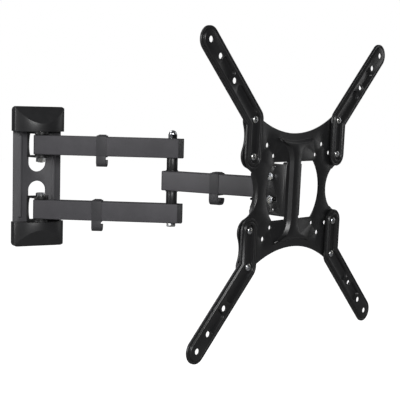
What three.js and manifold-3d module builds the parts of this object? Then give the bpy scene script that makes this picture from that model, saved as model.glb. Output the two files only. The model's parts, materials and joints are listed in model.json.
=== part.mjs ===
// Full motion wall mount for a flat screen: wall plate, double first arm, second arm, swivel head,
// tilting screen plate and four extension arms. Millimetres, +Z up, wall behind at y = 0, room towards -Y.
import * as THREE from 'three';
import { mergeVertices } from 'three/addons/utils/BufferGeometryUtils.js';
import Module from 'manifold-3d';

const wasm = await Module();
wasm.setup();

// ---------- Fits ----------
const GAP = 0.3;                    // between faces that touch
const HOLE_CLEARANCE = 0.4;         // round a shank, on the radius
const CUT_MARGIN = 2;               // how far a cutter runs past the face it cuts

// ---------- Pose as built, degrees from the wall's normal ----------
const FIRST_ARM_ANGLE = 57.5;
const SECOND_ARM_ANGLE = 31.5;
const HEAD_ANGLE = 21;
const TILT_DOWN = 1.6;
const TILT_TRAVEL_DOWN = 13.4;      // further tilt that the slot allows, screen facing down
const TILT_TRAVEL_UP = 6.6;

// ---------- Arms ----------
const FIRST_ARM_LENGTH = 205;       // wall pivot to elbow
const SECOND_ARM_LENGTH = 150;      // elbow to head swivel
const TUBE_HEIGHT = 30;
const TUBE_DEPTH = 18;
const TUBE_WALL = 1.5;
const TUBE_CORNER = 2;
const TUBE_SPACING = 100;           // centre to centre of the two first-arm tubes
const FIRST_TUBE_PAST_WALL_PIVOT = 8;
const FIRST_TUBE_PAST_ELBOW = 10;
const SECOND_TUBE_PAST_ELBOW = 12;
const SECOND_TUBE_PAST_HEAD = 12;
const THIN_CAP = 1.2;
const THICK_CAP = 6.5;
const PLUG_LENGTH = 3.2;
const CAP_EDGE = 0.5;

// ---------- Pivot hardware ----------
const PIVOT_SHANK = 4;              // radius of the M8 bolts
const PIVOT_FLATS = 13;
const HEAD_HEIGHT = 5.3;
const NUT_HEIGHT = 6.5;
const HEX_CHAMFER = 0.8;
const THREAD_PAST_NUT = 1.5;
const CAP_NUT_HEX = 6.5;
const CAP_NUT_HEIGHT = 12.5;
const CAP_NUT_ROOF = 2;
const CAP_NUT_SHOULDER = 0.3;       // dome inside the hexagon's flats
const GLIDE_RADIUS = 9.5;
const GLIDE_THICKNESS = 1.2;
const SPACER_RADIUS = 8.5;

// ---------- Wall plate and brackets ----------
const WALL_PLATE_WIDTH = 77;
const WALL_PLATE_HEIGHT = 213;
const WALL_PLATE_THICKNESS = 3;
const WALL_PLATE_CORNER = 6;
const OPENING_WIDTH = 28;
const OPENING_FROM_CENTRE = 7.3;    // half the bridge between the two long openings
const OPENING_TOP = 84;
const BEAD_FROM_CENTRE = 27.3;
const BEAD_WIDTH = 7.4;
const BEAD_LENGTH = 131;
const BEAD_RISE = 2;
const SCREW_SLOT_WIDTH = 8;
const SCREW_SLOT_LENGTH = 16;
const SCREW_SLOT_FROM_SIDE = 16;
const SCREW_SLOT_FROM_END = 11;
const PIVOT_DEPTH = 20;             // wall to the first arm's pivot axis
const BRACKET_SHEET = 3;
const BRACKET_SIDE = 2.5;
const EAR_RADIUS = 12;
const EAR_FOOT_FLARE = 1;           // head ears are this much wider where they meet the web
const BRACKET_WEB_DEPTH = 2.5;      // how far the bracket's sides stand off the plate at mid height

// ---------- Covers ----------
const COVER_WALL = 2;
const COVER_SIDE_DEPTH = 13;
const COVER_FRONT_DEPTH = 30.5;
const COVER_FACET_HEIGHT = 26;      // height of the slanted face at the middle
const COVER_CORNER = 5;

// ---------- Cable clips ----------
const CLIP_WIDTH = 15;
const CLIP_STRAP = 1.4;
const CLIP_HOOK_WALL = 2.4;
const CLIP_DROP = 16.3;
const CLIP_TIP_HEIGHT = 9;
const CLIP_LATCH_HEIGHT = 1.3;
const CLIP_LATCH_SHARE = 0.7;       // of the clip's width
const CLIP_UPPER_AT = 96;           // from the wall pivot
const CLIP_LOWER_AT = 90;
const CLIP_SECOND_AT = 80;          // from the elbow

// ---------- Swivel head ----------
const TILT_REACH = 38;              // swivel axis to tilt axis
const TILT_AXIS_HEIGHT = 18.5;      // above the arms' centre plane
const LOCK_BOLT_DROP = 33;          // tilt axis to lock bolt
const TILT_SHANK = 3;
const TILT_FLATS = 10;
const TILT_HEAD_HEIGHT = 4;
const TILT_NUT_HEIGHT = 5;
const HEAD_SHEET = 2.5;
const HEAD_WEB_AT = 18.5;           // swivel axis to the web's near face
const CHEEK_TOP = 30;
const CHEEK_BOTTOM = -27;
const CHEEK_PAST_TILT_AXIS = 8.5;

// ---------- Screen plate ----------
const PLATE_TO_TILT_AXIS = 25;      // plate's front face to tilt axis
const PLATE_SHEET = 2.5;
const ARM_BOLT_ACROSS = 100;        // arm bolts, half the 200 mm square
const ARM_BOLT_INNER_HEIGHT = 50;
const ARM_BOLT_OUTER_HEIGHT = 100;
const INNER_LOBE_RADIUS = 18;
const INNER_LOBE_OFFSET = 2;        // lobe centres lie this far outside the bolts
const OUTER_LOBE_RADIUS = 14;
const OUTER_LOBE_OFFSET = 5;
const LOBE_NECK_RADIUS = 40;
const WAIST_HALF_WIDTH = 82;
const APEX_HEIGHT = 81;
const WINDOW_INNER = 19.2;
const WINDOW_CORNER_ACROSS = 47;
const WINDOW_BULGE_ACROSS = 63.6;
const WINDOW_HALF_HEIGHT = 41;
const EAR_KERF = 4;
const EAR_HOLE = { radius: 1.6, behind: 20.5, heights: [31.8, -28.8] };
const WAIST_FLANGE_DEPTH = 8;
const WAIST_FLANGE_HALF_ANGLE = 50;
const RIB_RISE = 5.5;
const RIB_HALF_WIDTH = 12.5;        // at its foot
const RIB_SLOPE_WIDTH = 5;
const RIB_FLARE_HALF_WIDTH = 42;
const RIB_STRAIGHT = 40;
const RIB_END_HEIGHT = 76;
const RIB_END_DIP = 8;
const RIB_FLARE_PULL = 14;          // how softly the straight part turns into the flare
const RIB_FLARE_SPREAD = 8;
const HOLE_100 = { across: 50, up: 50, radius: 3.2 };
const HOLE_130 = { across: 65, up: 65, radius: 3.6 };
const HOLE_SIDE = { across: 84, up: 52, radius: 3.4 };

// ---------- Extension arms ----------
const ARM_END = 200;                // outermost screw hole, half of 400 mm
const ARM_HOLES = [200, 180, 150];  // screw holes on the diagonal, across and up
const ARM_HOLE_RADIUS = 4.2;
const ARM_HALF_WIDTH = 17.5;
const ARM_RIM_HEIGHT = 4.9;
const ARM_PAD_HEIGHT = 6.3;         // pads that the screen rests on, above the plate
const ARM_FLOOR_HEIGHT = 2.5;
const ARM_SHEET = 2;
const RIM_WIDTH = 3.2;
const RIM_EDGE = 0.5;
const GROOVE_DEPTH = 0.8;
const RIDGE_HALF_WIDTH = 11.6;
const RIDGE_SLOPE = 1.2;
const POCKET_FLOOR_HALF_WIDTH = 7.2;
const POCKET_TOP_HALF_WIDTH = 9.2;
const PAN_FLARE = 1.6;
const PAD_HALF_LENGTH = 10;
const SHORT_POCKET_FROM_HOLE = 7;
const ARM_SCREW_SHANK = 3;
const ARM_SCREW_HEAD = 5.2;
const ARM_SCREW_HEAD_HEIGHT = 3;
const SCREW_DOME = [[1, 0.45], [0.86, 0.75], [0.55, 0.95]];     // shares of the head's radius and height
const COLLAR_RADIUS = 6;
const COLLAR_DEPTH = 4;

// ---------- Derived sizes ----------
const STACK = GAP + GLIDE_THICKNESS + GAP;
const EAR_INNER = TUBE_HEIGHT / 2 + STACK;
const EAR_OUTER = EAR_INNER + BRACKET_SHEET;
const HEAD_EAR_OUTER = EAR_INNER + HEAD_SHEET;
const COVER_RIM = TUBE_SPACING / 2 + EAR_OUTER + 2 * GAP;
const COVER_HALF_WIDTH = WALL_PLATE_WIDTH / 2 + GAP + COVER_WALL;
const COVER_END = WALL_PLATE_HEIGHT / 2 + GAP + COVER_WALL;
const PLATE_EAR_OUTER = WINDOW_INNER + GAP;
const PLATE_EAR_INNER = PLATE_EAR_OUTER - PLATE_SHEET;
const CHEEK_OUTER = PLATE_EAR_INNER - GAP;
const TAN_HALF_BEND = Math.tan(Math.PI / 8);
const SIDES = [-1, 1];

// ---------- Geometry helpers ----------
const radians = THREE.MathUtils.degToRad;

function basis(x, y, z) {
  const [across, along, up] = [x, y, z].map((axis) => new THREE.Vector3(...axis));
  return new THREE.Matrix4().makeBasis(across, along, up);
}

const FACING = basis([0, 1, 0], [0, 0, 1], [1, 0, 0]);      // drawn across and up, thickness along +x
const OUTWARD = basis([1, 0, 0], [0, 0, 1], [0, -1, 0]);    // drawn along x and up, thickness towards -y
const SIDEWAYS = basis([0, -1, 0], [0, 0, 1], [-1, 0, 0]);  // drawn by depth and height, thickness along -x

function toSolid(geometry) {
  const bare = geometry.clone();
  bare.deleteAttribute('normal');
  bare.deleteAttribute('uv');
  const merged = mergeVertices(bare, 1e-4);
  const vertProperties = new Float32Array(merged.attributes.position.array);
  const triVerts = new Uint32Array(merged.index.array);
  return new wasm.Manifold(new wasm.Mesh({ numProp: 3, vertProperties, triVerts }));
}

function toGeometry(solid) {
  const { vertProperties, triVerts } = solid.getMesh();
  const geometry = new THREE.BufferGeometry();
  geometry.setAttribute('position', new THREE.BufferAttribute(new Float32Array(vertProperties), 3));
  geometry.setIndex(new THREE.BufferAttribute(new Uint32Array(triVerts), 1));
  geometry.computeVertexNormals();
  return geometry;
}

function prism(shape, depth, { start = 0, frame = null, bevel = 0, curveSegments = 4 } = {}) {
  const geometry = new THREE.ExtrudeGeometry(shape, {
    depth: depth - 2 * bevel,
    bevelEnabled: bevel > 0,
    bevelThickness: bevel,
    bevelSize: bevel,
    bevelOffset: -bevel,
    bevelSegments: 1,
    curveSegments,
  });
  geometry.translate(0, 0, start + bevel);
  if (frame) geometry.applyMatrix4(frame);
  return toSolid(geometry);
}

function raisedBead(shape, rise, { start, frame, curveSegments = 4 }) {
  const geometry = new THREE.ExtrudeGeometry(shape, {
    depth: rise,
    bevelEnabled: true,
    bevelThickness: rise,
    bevelSize: rise,
    bevelOffset: -rise,
    bevelSegments: 2,
    curveSegments,
  });
  geometry.translate(0, 0, start - rise);
  geometry.applyMatrix4(frame);
  return toSolid(geometry);
}

function rod(radius, length, { at = [0, 0, 0], along = 'z', sides = 16 } = {}) {
  const geometry = new THREE.CylinderGeometry(radius, radius, length, sides);
  geometry.translate(0, length / 2, 0);
  if (along === 'z') geometry.rotateX(Math.PI / 2);
  if (along === 'x') geometry.rotateZ(-Math.PI / 2);
  geometry.translate(...at);
  return toSolid(geometry);
}

function box(size, centre) {
  const geometry = new THREE.BoxGeometry(...size);
  geometry.translate(...centre);
  return toSolid(geometry);
}

function turned(profile, sides = 20) {
  const points = profile.map(([r, h]) => new THREE.Vector2(r, h));
  const geometry = new THREE.LatheGeometry(points, sides);
  geometry.rotateX(Math.PI / 2);
  return toSolid(geometry);
}

function roundedRectangle(width, height, radius) {
  const x = width / 2;
  const y = height / 2;
  const shape = new THREE.Shape();
  shape.absarc(x - radius, y - radius, radius, 0, Math.PI / 2);
  shape.absarc(-x + radius, y - radius, radius, Math.PI / 2, Math.PI);
  shape.absarc(-x + radius, -y + radius, radius, Math.PI, 1.5 * Math.PI);
  shape.absarc(x - radius, -y + radius, radius, 1.5 * Math.PI, 2 * Math.PI);
  return shape;
}

function stadium(x0, y0, x1, y1, radius) {
  const turn = Math.atan2(y1 - y0, x1 - x0);
  const shape = new THREE.Shape();
  shape.absarc(x1, y1, radius, turn - Math.PI / 2, turn + Math.PI / 2);
  shape.absarc(x0, y0, radius, turn + Math.PI / 2, turn + 1.5 * Math.PI);
  return shape;
}

function mirrored(geometry, across, up) {
  const copy = geometry.clone().applyMatrix4(new THREE.Matrix4().makeScale(1, across, up));
  if (across * up < 0) {
    const index = copy.index.array;
    for (let i = 0; i < index.length; i += 3) [index[i], index[i + 1]] = [index[i + 1], index[i]];
  }
  copy.computeVertexNormals();
  return copy;
}

// ---------- Materials ----------
function material(color, roughness, metalness) {
  return () => new THREE.MeshStandardMaterial({ color, roughness, metalness });
}

const powderCoat = material(0x2b2c2e, 0.55, 0.2);
const tubeCoat = material(0x48494d, 0.5, 0.25);
const blackPlastic = material(0x26272a, 0.6, 0);
const nylon = material(0x141414, 0.5, 0);
const zinc = material(0xc9ccd0, 0.3, 0.9);
const chrome = material(0xe2e4e6, 0.12, 1);

function add(group, name, part, makeMaterial) {
  const geometry = part.isBufferGeometry ? part : toGeometry(part);
  const mesh = new THREE.Mesh(geometry, makeMaterial());
  mesh.name = name;
  group.add(mesh);
  return mesh;
}

// ---------- Fasteners ----------
function hexagon(acrossFlats, height, z) {
  const radius = acrossFlats / Math.sqrt(3);
  const top = z + height;
  const cone = [[0, z], [radius, z], [radius, top - HEX_CHAMFER], [radius - 2 * HEX_CHAMFER, top], [0, top]];
  return rod(radius, height, { at: [0, 0, z], sides: 6 }).intersect(turned(cone));
}

function hexBolt(shankRadius, acrossFlats, headHeight, length) {
  const shank = rod(shankRadius, length + headHeight / 2, { at: [0, 0, -length] });
  return hexagon(acrossFlats, headHeight, 0).add(shank);
}

function hexNut(shankRadius, acrossFlats, height) {
  const bore = rod(shankRadius + HOLE_CLEARANCE, height + 2 * CUT_MARGIN, { at: [0, 0, -CUT_MARGIN] });
  return hexagon(acrossFlats, height, 0).subtract(bore);
}

function ring(outer, inner, thickness) {
  const bore = rod(inner, thickness + 2 * CUT_MARGIN, { at: [0, 0, -CUT_MARGIN] });
  return rod(outer, thickness, { sides: 20 }).subtract(bore);
}

function glide() {
  return ring(GLIDE_RADIUS, PIVOT_SHANK + HOLE_CLEARANCE, GLIDE_THICKNESS);
}

function domedCapNut() {
  const radius = PIVOT_FLATS / 2 - CAP_NUT_SHOULDER;
  const profile = [[0, 0], [radius, 0], [radius, CAP_NUT_HEX]];
  const steps = 4;
  for (let i = 1; i <= steps; i += 1) {
    const turn = (i / steps) * (Math.PI / 2);
    const rise = (CAP_NUT_HEIGHT - CAP_NUT_HEX) * Math.sin(turn);
    profile.push([i === steps ? 0 : radius * Math.cos(turn), CAP_NUT_HEX + rise]);
  }
  const bore = rod(PIVOT_SHANK + HOLE_CLEARANCE, CAP_NUT_HEIGHT - CAP_NUT_ROOF + CUT_MARGIN, {
    at: [0, 0, -CUT_MARGIN],
  });
  return turned(profile).add(hexagon(PIVOT_FLATS, CAP_NUT_HEX, 0)).subtract(bore);
}

function armScrew() {
  const r = ARM_SCREW_HEAD;
  const h = ARM_SCREW_HEAD_HEIGHT;
  const tail = ARM_FLOOR_HEIGHT + GAP + PLATE_SHEET + COLLAR_DEPTH;
  const dome = SCREW_DOME.map(([across, up]) => [r * across, h * up]);
  const profile = [[0, -tail], [ARM_SCREW_SHANK, -tail], [ARM_SCREW_SHANK, 0], [r, 0], ...dome, [0, h]];
  return turned(profile, 16);
}

// ---------- Wall group ----------
function wallPlate() {
  const thickness = WALL_PLATE_THICKNESS;
  const outline = roundedRectangle(WALL_PLATE_WIDTH, WALL_PLATE_HEIGHT, WALL_PLATE_CORNER);
  let plate = prism(outline, thickness, { frame: OUTWARD });
  for (const side of SIDES) {
    const x = side * BEAD_FROM_CENTRE;
    const end = BEAD_LENGTH / 2 - BEAD_WIDTH / 2;
    const bead = stadium(x, -end, x, end, BEAD_WIDTH / 2);
    plate = plate.add(raisedBead(bead, BEAD_RISE, { start: thickness, frame: OUTWARD }));
    const groove = stadium(x, -end, x, end, BEAD_WIDTH / 2 - BEAD_RISE);
    plate = plate.subtract(prism(groove, BEAD_RISE + CUT_MARGIN, { start: -CUT_MARGIN, frame: OUTWARD }));
  }
  const cut = thickness + 2 * CUT_MARGIN;
  for (const up of SIDES) {
    const r = OPENING_WIDTH / 2;
    const opening = stadium(0, up * (OPENING_FROM_CENTRE + r), 0, up * (OPENING_TOP - r), r);
    plate = plate.subtract(prism(opening, cut, { start: -CUT_MARGIN, frame: OUTWARD, curveSegments: 8 }));
    for (const side of SIDES) {
      const x = side * (WALL_PLATE_WIDTH / 2 - SCREW_SLOT_FROM_SIDE);
      const z = up * (WALL_PLATE_HEIGHT / 2 - SCREW_SLOT_FROM_END);
      const reach = (SCREW_SLOT_LENGTH - SCREW_SLOT_WIDTH) / 2;
      const slot = stadium(x - reach, z, x + reach, z, SCREW_SLOT_WIDTH / 2);
      plate = plate.subtract(prism(slot, cut, { start: -CUT_MARGIN, frame: OUTWARD }));
    }
  }
  return plate;
}

function pivotEar(z) {
  const foot = WALL_PLATE_THICKNESS + GAP;
  const half = OPENING_WIDTH / 2 + BRACKET_SIDE;
  const shape = new THREE.Shape();
  shape.moveTo(half, foot);
  shape.lineTo(half, foot + BRACKET_WEB_DEPTH);
  shape.absarc(0, PIVOT_DEPTH, EAR_RADIUS, 0, Math.PI);
  shape.lineTo(-half, foot + BRACKET_WEB_DEPTH);
  shape.lineTo(-half, foot);
  const sheet = { depth: BRACKET_SHEET, bevelEnabled: false, curveSegments: 8 };
  const geometry = new THREE.ExtrudeGeometry(shape, sheet);
  geometry.applyMatrix4(basis([1, 0, 0], [0, -1, 0], [0, 0, -1]));
  geometry.translate(0, 0, z + BRACKET_SHEET);
  return toSolid(geometry);
}

function pivotBracket() {
  const foot = WALL_PLATE_THICKNESS + GAP;
  const clear = PIVOT_DEPTH - TUBE_DEPTH / 2 - 2 * GAP;
  const profile = new THREE.Shape();
  profile.moveTo(foot, -EAR_OUTER);
  profile.lineTo(clear, -EAR_OUTER);
  profile.lineTo(clear, -EAR_INNER);
  profile.quadraticCurveTo(foot + BRACKET_WEB_DEPTH, -EAR_INNER, foot + BRACKET_WEB_DEPTH, 0);
  profile.quadraticCurveTo(foot + BRACKET_WEB_DEPTH, EAR_INNER, clear, EAR_INNER);
  profile.lineTo(clear, EAR_OUTER);
  profile.lineTo(foot, EAR_OUTER);
  let bracket = pivotEar(EAR_INNER).add(pivotEar(-EAR_OUTER));
  for (const side of SIDES) {
    const start = side > 0 ? -OPENING_WIDTH / 2 - BRACKET_SIDE : OPENING_WIDTH / 2;
    bracket = bracket.add(prism(profile, BRACKET_SIDE, { start, frame: SIDEWAYS, curveSegments: 5 }));
  }
  const hole = rod(PIVOT_SHANK + HOLE_CLEARANCE, 2 * (EAR_OUTER + CUT_MARGIN), {
    at: [0, -PIVOT_DEPTH, -EAR_OUTER - CUT_MARGIN],
  });
  return bracket.subtract(hole);
}

function coverOutline(halfWidth, sideDepth, frontDepth, corner) {
  const shape = new THREE.Shape();
  shape.moveTo(halfWidth, 0);
  shape.lineTo(halfWidth, sideDepth - corner);
  const steps = 20;
  for (let i = 0; i <= steps; i += 1) {
    const turn = (i / steps) * Math.PI;
    const across = halfWidth * Math.cos(turn);
    const bulge = (frontDepth - sideDepth) * (1 - Math.cos(turn) ** 2);
    const round = corner * (1 - Math.sqrt(Math.sin(turn)));
    shape.lineTo(across, sideDepth + bulge - round);
  }
  shape.lineTo(-halfWidth, 0);
  return shape;
}

function facetCutter(inset) {
  const end = COVER_END;
  const slope = (COVER_FRONT_DEPTH - COVER_SIDE_DEPTH) / COVER_FACET_HEIGHT;
  const back = COVER_SIDE_DEPTH - inset * Math.hypot(1, slope);
  const far = COVER_FRONT_DEPTH + 4 * CUT_MARGIN;
  const profile = new THREE.Shape();
  profile.moveTo(back - CUT_MARGIN * slope, end + CUT_MARGIN);
  profile.lineTo(far, end - (far - back) / slope);
  profile.lineTo(far, end + CUT_MARGIN);
  const width = 2 * COVER_HALF_WIDTH + 2 * CUT_MARGIN;
  return prism(profile, width, { start: -width / 2, frame: SIDEWAYS });
}

function cover() {
  const upright = basis([1, 0, 0], [0, -1, 0], [0, 0, -1]);
  const block = (wall, from, to) => {
    const width = COVER_HALF_WIDTH - wall;
    const [side, front] = [COVER_SIDE_DEPTH - wall, COVER_FRONT_DEPTH - wall];
    const outline = coverOutline(width, side, front, COVER_CORNER - wall);
    const geometry = new THREE.ExtrudeGeometry(outline, { depth: to - from, bevelEnabled: false });
    geometry.applyMatrix4(upright);
    geometry.translate(0, 0, to);
    return toSolid(geometry);
  };
  const outer = block(0, COVER_RIM, COVER_END).subtract(facetCutter(0));
  const inner = block(COVER_WALL, COVER_RIM + COVER_WALL, COVER_END - COVER_WALL)
    .subtract(facetCutter(COVER_WALL));
  const backDepth = WALL_PLATE_THICKNESS + BEAD_RISE + GAP;
  const backWidth = 2 * (COVER_HALF_WIDTH - COVER_WALL);
  const plateWay = box(
    [backWidth, backDepth + CUT_MARGIN, COVER_END - COVER_RIM - COVER_WALL + CUT_MARGIN],
    [0, (CUT_MARGIN - backDepth) / 2, (COVER_RIM + COVER_END - COVER_WALL - CUT_MARGIN) / 2],
  );
  const nutRadius = PIVOT_FLATS / Math.sqrt(3) + 3 * GAP;
  const nutWay = new THREE.Shape();
  nutWay.absarc(0, PIVOT_DEPTH, nutRadius, 0, Math.PI);
  nutWay.lineTo(-nutRadius, -CUT_MARGIN);
  nutWay.lineTo(nutRadius, -CUT_MARGIN);
  const through = { depth: COVER_WALL + 2 * CUT_MARGIN, bevelEnabled: false };
  const notch = new THREE.ExtrudeGeometry(nutWay, through);
  notch.applyMatrix4(upright);
  notch.translate(0, 0, COVER_RIM + COVER_WALL + CUT_MARGIN);
  return outer.subtract(inner).subtract(plateWay).subtract(toSolid(notch));
}

function wallGroup() {
  const group = new THREE.Group();
  const tubeHeight = TUBE_SPACING / 2;
  const grip = 2 * EAR_OUTER + GAP;
  const boltLength = grip + GAP + NUT_HEIGHT + THREAD_PAST_NUT;
  add(group, 'wall_plate', wallPlate(), tubeCoat);
  const bracket = toGeometry(pivotBracket());
  const shell = toGeometry(cover());
  const parts = { upper: tubeHeight, lower: -tubeHeight };
  for (const [name, z] of Object.entries(parts)) {
    add(group, `${name}_pivot_bracket`, bracket.clone(), powderCoat).position.z = z;
    const wallBolt = hexBolt(PIVOT_SHANK, PIVOT_FLATS, HEAD_HEIGHT, boltLength);
    const bolt = add(group, `${name}_wall_bolt`, wallBolt, zinc);
    bolt.position.set(0, -PIVOT_DEPTH, z + EAR_OUTER + GAP);
    const nut = add(group, `${name}_wall_nut`, hexNut(PIVOT_SHANK, PIVOT_FLATS, NUT_HEIGHT), zinc);
    nut.position.set(0, -PIVOT_DEPTH, z - EAR_OUTER - GAP - NUT_HEIGHT);
    const washers = { top: TUBE_HEIGHT / 2 + GAP, bottom: -TUBE_HEIGHT / 2 - GAP - GLIDE_THICKNESS };
    for (const [end, rise] of Object.entries(washers)) {
      add(group, `${name}_wall_glide_${end}`, glide(), nylon).position.set(0, -PIVOT_DEPTH, z + rise);
    }
  }
  add(group, 'top_cover', shell, blackPlastic);
  add(group, 'bottom_cover', mirrored(shell, 1, -1), blackPlastic);
  return group;
}

// ---------- Tubes ----------
function tube(from, to, holes) {
  const section = roundedRectangle(TUBE_DEPTH, TUBE_HEIGHT, TUBE_CORNER);
  const [boreDepth, boreHeight] = [TUBE_DEPTH - 2 * TUBE_WALL, TUBE_HEIGHT - 2 * TUBE_WALL];
  const bore = roundedRectangle(boreDepth, boreHeight, TUBE_CORNER - TUBE_WALL);
  section.holes.push(bore);
  let body = prism(section, to - from, { start: from, frame: FACING, curveSegments: 2 });
  for (const x of holes) {
    const hole = rod(PIVOT_SHANK + HOLE_CLEARANCE, TUBE_HEIGHT + 2 * CUT_MARGIN, {
      at: [x, 0, -TUBE_HEIGHT / 2 - CUT_MARGIN],
    });
    body = body.subtract(hole);
  }
  return body;
}

function tubeCap(thickness) {
  const face = roundedRectangle(TUBE_DEPTH, TUBE_HEIGHT, TUBE_CORNER);
  const fit = 2 * (TUBE_WALL + GAP);
  const plug = roundedRectangle(TUBE_DEPTH - fit, TUBE_HEIGHT - fit, GAP);
  const head = prism(face, thickness, { start: GAP, frame: FACING, bevel: CAP_EDGE, curveSegments: 2 });
  const inside = { start: -PLUG_LENGTH, frame: FACING, curveSegments: 1 };
  return head.add(prism(plug, PLUG_LENGTH + 2 * GAP, inside));
}

function turnedRound(solid) {
  const geometry = toGeometry(solid);
  geometry.rotateZ(Math.PI);
  return geometry;
}

function cableClip() {
  const inner = [TUBE_DEPTH / 2 + GAP, TUBE_HEIGHT / 2 + GAP];
  const outer = [inner[0] + CLIP_STRAP, inner[1] + CLIP_STRAP];
  const strap = roundedRectangle(2 * outer[0], 2 * outer[1], TUBE_CORNER + CLIP_STRAP);
  strap.holes.push(roundedRectangle(2 * inner[0], 2 * inner[1], TUBE_CORNER));
  const bottom = -TUBE_HEIGHT / 2 - CLIP_DROP;
  const bend = 2 * CLIP_HOOK_WALL;
  const inside = bend - CLIP_HOOK_WALL;
  const wallIn = outer[0] - CLIP_HOOK_WALL;
  const tip = bottom + CLIP_TIP_HEIGHT;
  const hook = new THREE.Shape();
  hook.moveTo(-outer[0], -outer[1] + TUBE_CORNER);
  hook.absarc(-outer[0] + bend, bottom + bend, bend, Math.PI, 1.5 * Math.PI);
  hook.absarc(outer[0] - bend, bottom + bend, bend, 1.5 * Math.PI, 2 * Math.PI);
  hook.absarc(outer[0] - CLIP_HOOK_WALL / 2, tip, CLIP_HOOK_WALL / 2, 0, Math.PI);
  hook.absarc(outer[0] - bend, bottom + bend, inside, 2 * Math.PI, 1.5 * Math.PI, true);
  hook.absarc(-outer[0] + bend, bottom + bend, inside, 1.5 * Math.PI, Math.PI, true);
  hook.lineTo(-wallIn, -outer[1] + GAP);
  const latch = new THREE.Shape();
  latch.moveTo(-outer[0] + TUBE_CORNER, outer[1] - GAP);
  latch.lineTo(outer[0] - TUBE_CORNER, outer[1] - GAP);
  latch.lineTo(outer[0] - 2 * TUBE_CORNER, outer[1] + CLIP_LATCH_HEIGHT);
  latch.lineTo(0, outer[1] + CLIP_LATCH_HEIGHT);
  const start = -CLIP_WIDTH / 2;
  return prism(strap, CLIP_WIDTH, { start, frame: FACING, curveSegments: 2 })
    .add(prism(hook, CLIP_WIDTH, { start, frame: FACING, curveSegments: 3 }))
    .add(prism(latch, CLIP_WIDTH * CLIP_LATCH_SHARE, { start: start * CLIP_LATCH_SHARE, frame: FACING }));
}

function firstArm() {
  const group = new THREE.Group();
  const from = -FIRST_TUBE_PAST_WALL_PIVOT;
  const to = FIRST_ARM_LENGTH + FIRST_TUBE_PAST_ELBOW;
  const levels = { upper: TUBE_SPACING / 2, lower: -TUBE_SPACING / 2 };
  const clips = { upper: CLIP_UPPER_AT, lower: CLIP_LOWER_AT };
  for (const [name, z] of Object.entries(levels)) {
    add(group, `${name}_tube`, tube(from, to, [0, FIRST_ARM_LENGTH]), tubeCoat).position.z = z;
    const wallCap = turnedRound(tubeCap(THIN_CAP));
    add(group, `${name}_tube_wall_cap`, wallCap, blackPlastic).position.set(from, 0, z);
    add(group, `${name}_tube_elbow_cap`, tubeCap(THICK_CAP), blackPlastic).position.set(to, 0, z);
    add(group, `${name}_cable_clip`, cableClip(), blackPlastic).position.set(clips[name], 0, z);
  }
  const elbowStack = TUBE_HEIGHT / 2 + STACK;
  const spacerLength = TUBE_SPACING / 2 - TUBE_HEIGHT / 2 - GAP - elbowStack;
  const spacer = ring(SPACER_RADIUS, PIVOT_SHANK + HOLE_CLEARANCE, spacerLength);
  add(group, 'upper_spacer', spacer, powderCoat).position.set(FIRST_ARM_LENGTH, 0, elbowStack);
  const lowerSpacer = add(group, 'lower_spacer', spacer, powderCoat);
  lowerSpacer.position.set(FIRST_ARM_LENGTH, 0, -elbowStack - spacerLength);
  const top = TUBE_SPACING / 2 + TUBE_HEIGHT / 2 + GAP;
  add(group, 'elbow_glide_top', glide(), nylon).position.set(FIRST_ARM_LENGTH, 0, TUBE_HEIGHT / 2 + GAP);
  const lowGlide = -TUBE_HEIGHT / 2 - GAP - GLIDE_THICKNESS;
  add(group, 'elbow_glide_bottom', glide(), nylon).position.set(FIRST_ARM_LENGTH, 0, lowGlide);
  const boltLength = 2 * top + CAP_NUT_HEIGHT - CAP_NUT_ROOF - GAP;
  const bolt = hexBolt(PIVOT_SHANK, PIVOT_FLATS, HEAD_HEIGHT, boltLength);
  const boltMesh = add(group, 'elbow_bolt', bolt, zinc);
  boltMesh.rotation.x = Math.PI;
  boltMesh.position.set(FIRST_ARM_LENGTH, 0, -top);
  add(group, 'elbow_cap_nut', domedCapNut(), chrome).position.set(FIRST_ARM_LENGTH, 0, top);
  return group;
}

function secondArm() {
  const group = new THREE.Group();
  const from = -SECOND_TUBE_PAST_ELBOW;
  const to = SECOND_ARM_LENGTH + SECOND_TUBE_PAST_HEAD;
  add(group, 'second_arm_tube', tube(from, to, [0, SECOND_ARM_LENGTH]), tubeCoat);
  add(group, 'second_arm_elbow_cap', turnedRound(tubeCap(THIN_CAP)), blackPlastic).position.x = from;
  add(group, 'second_arm_head_cap', tubeCap(THIN_CAP), blackPlastic).position.x = to;
  add(group, 'second_arm_cable_clip', cableClip(), blackPlastic).position.x = CLIP_SECOND_AT;
  return group;
}

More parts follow.
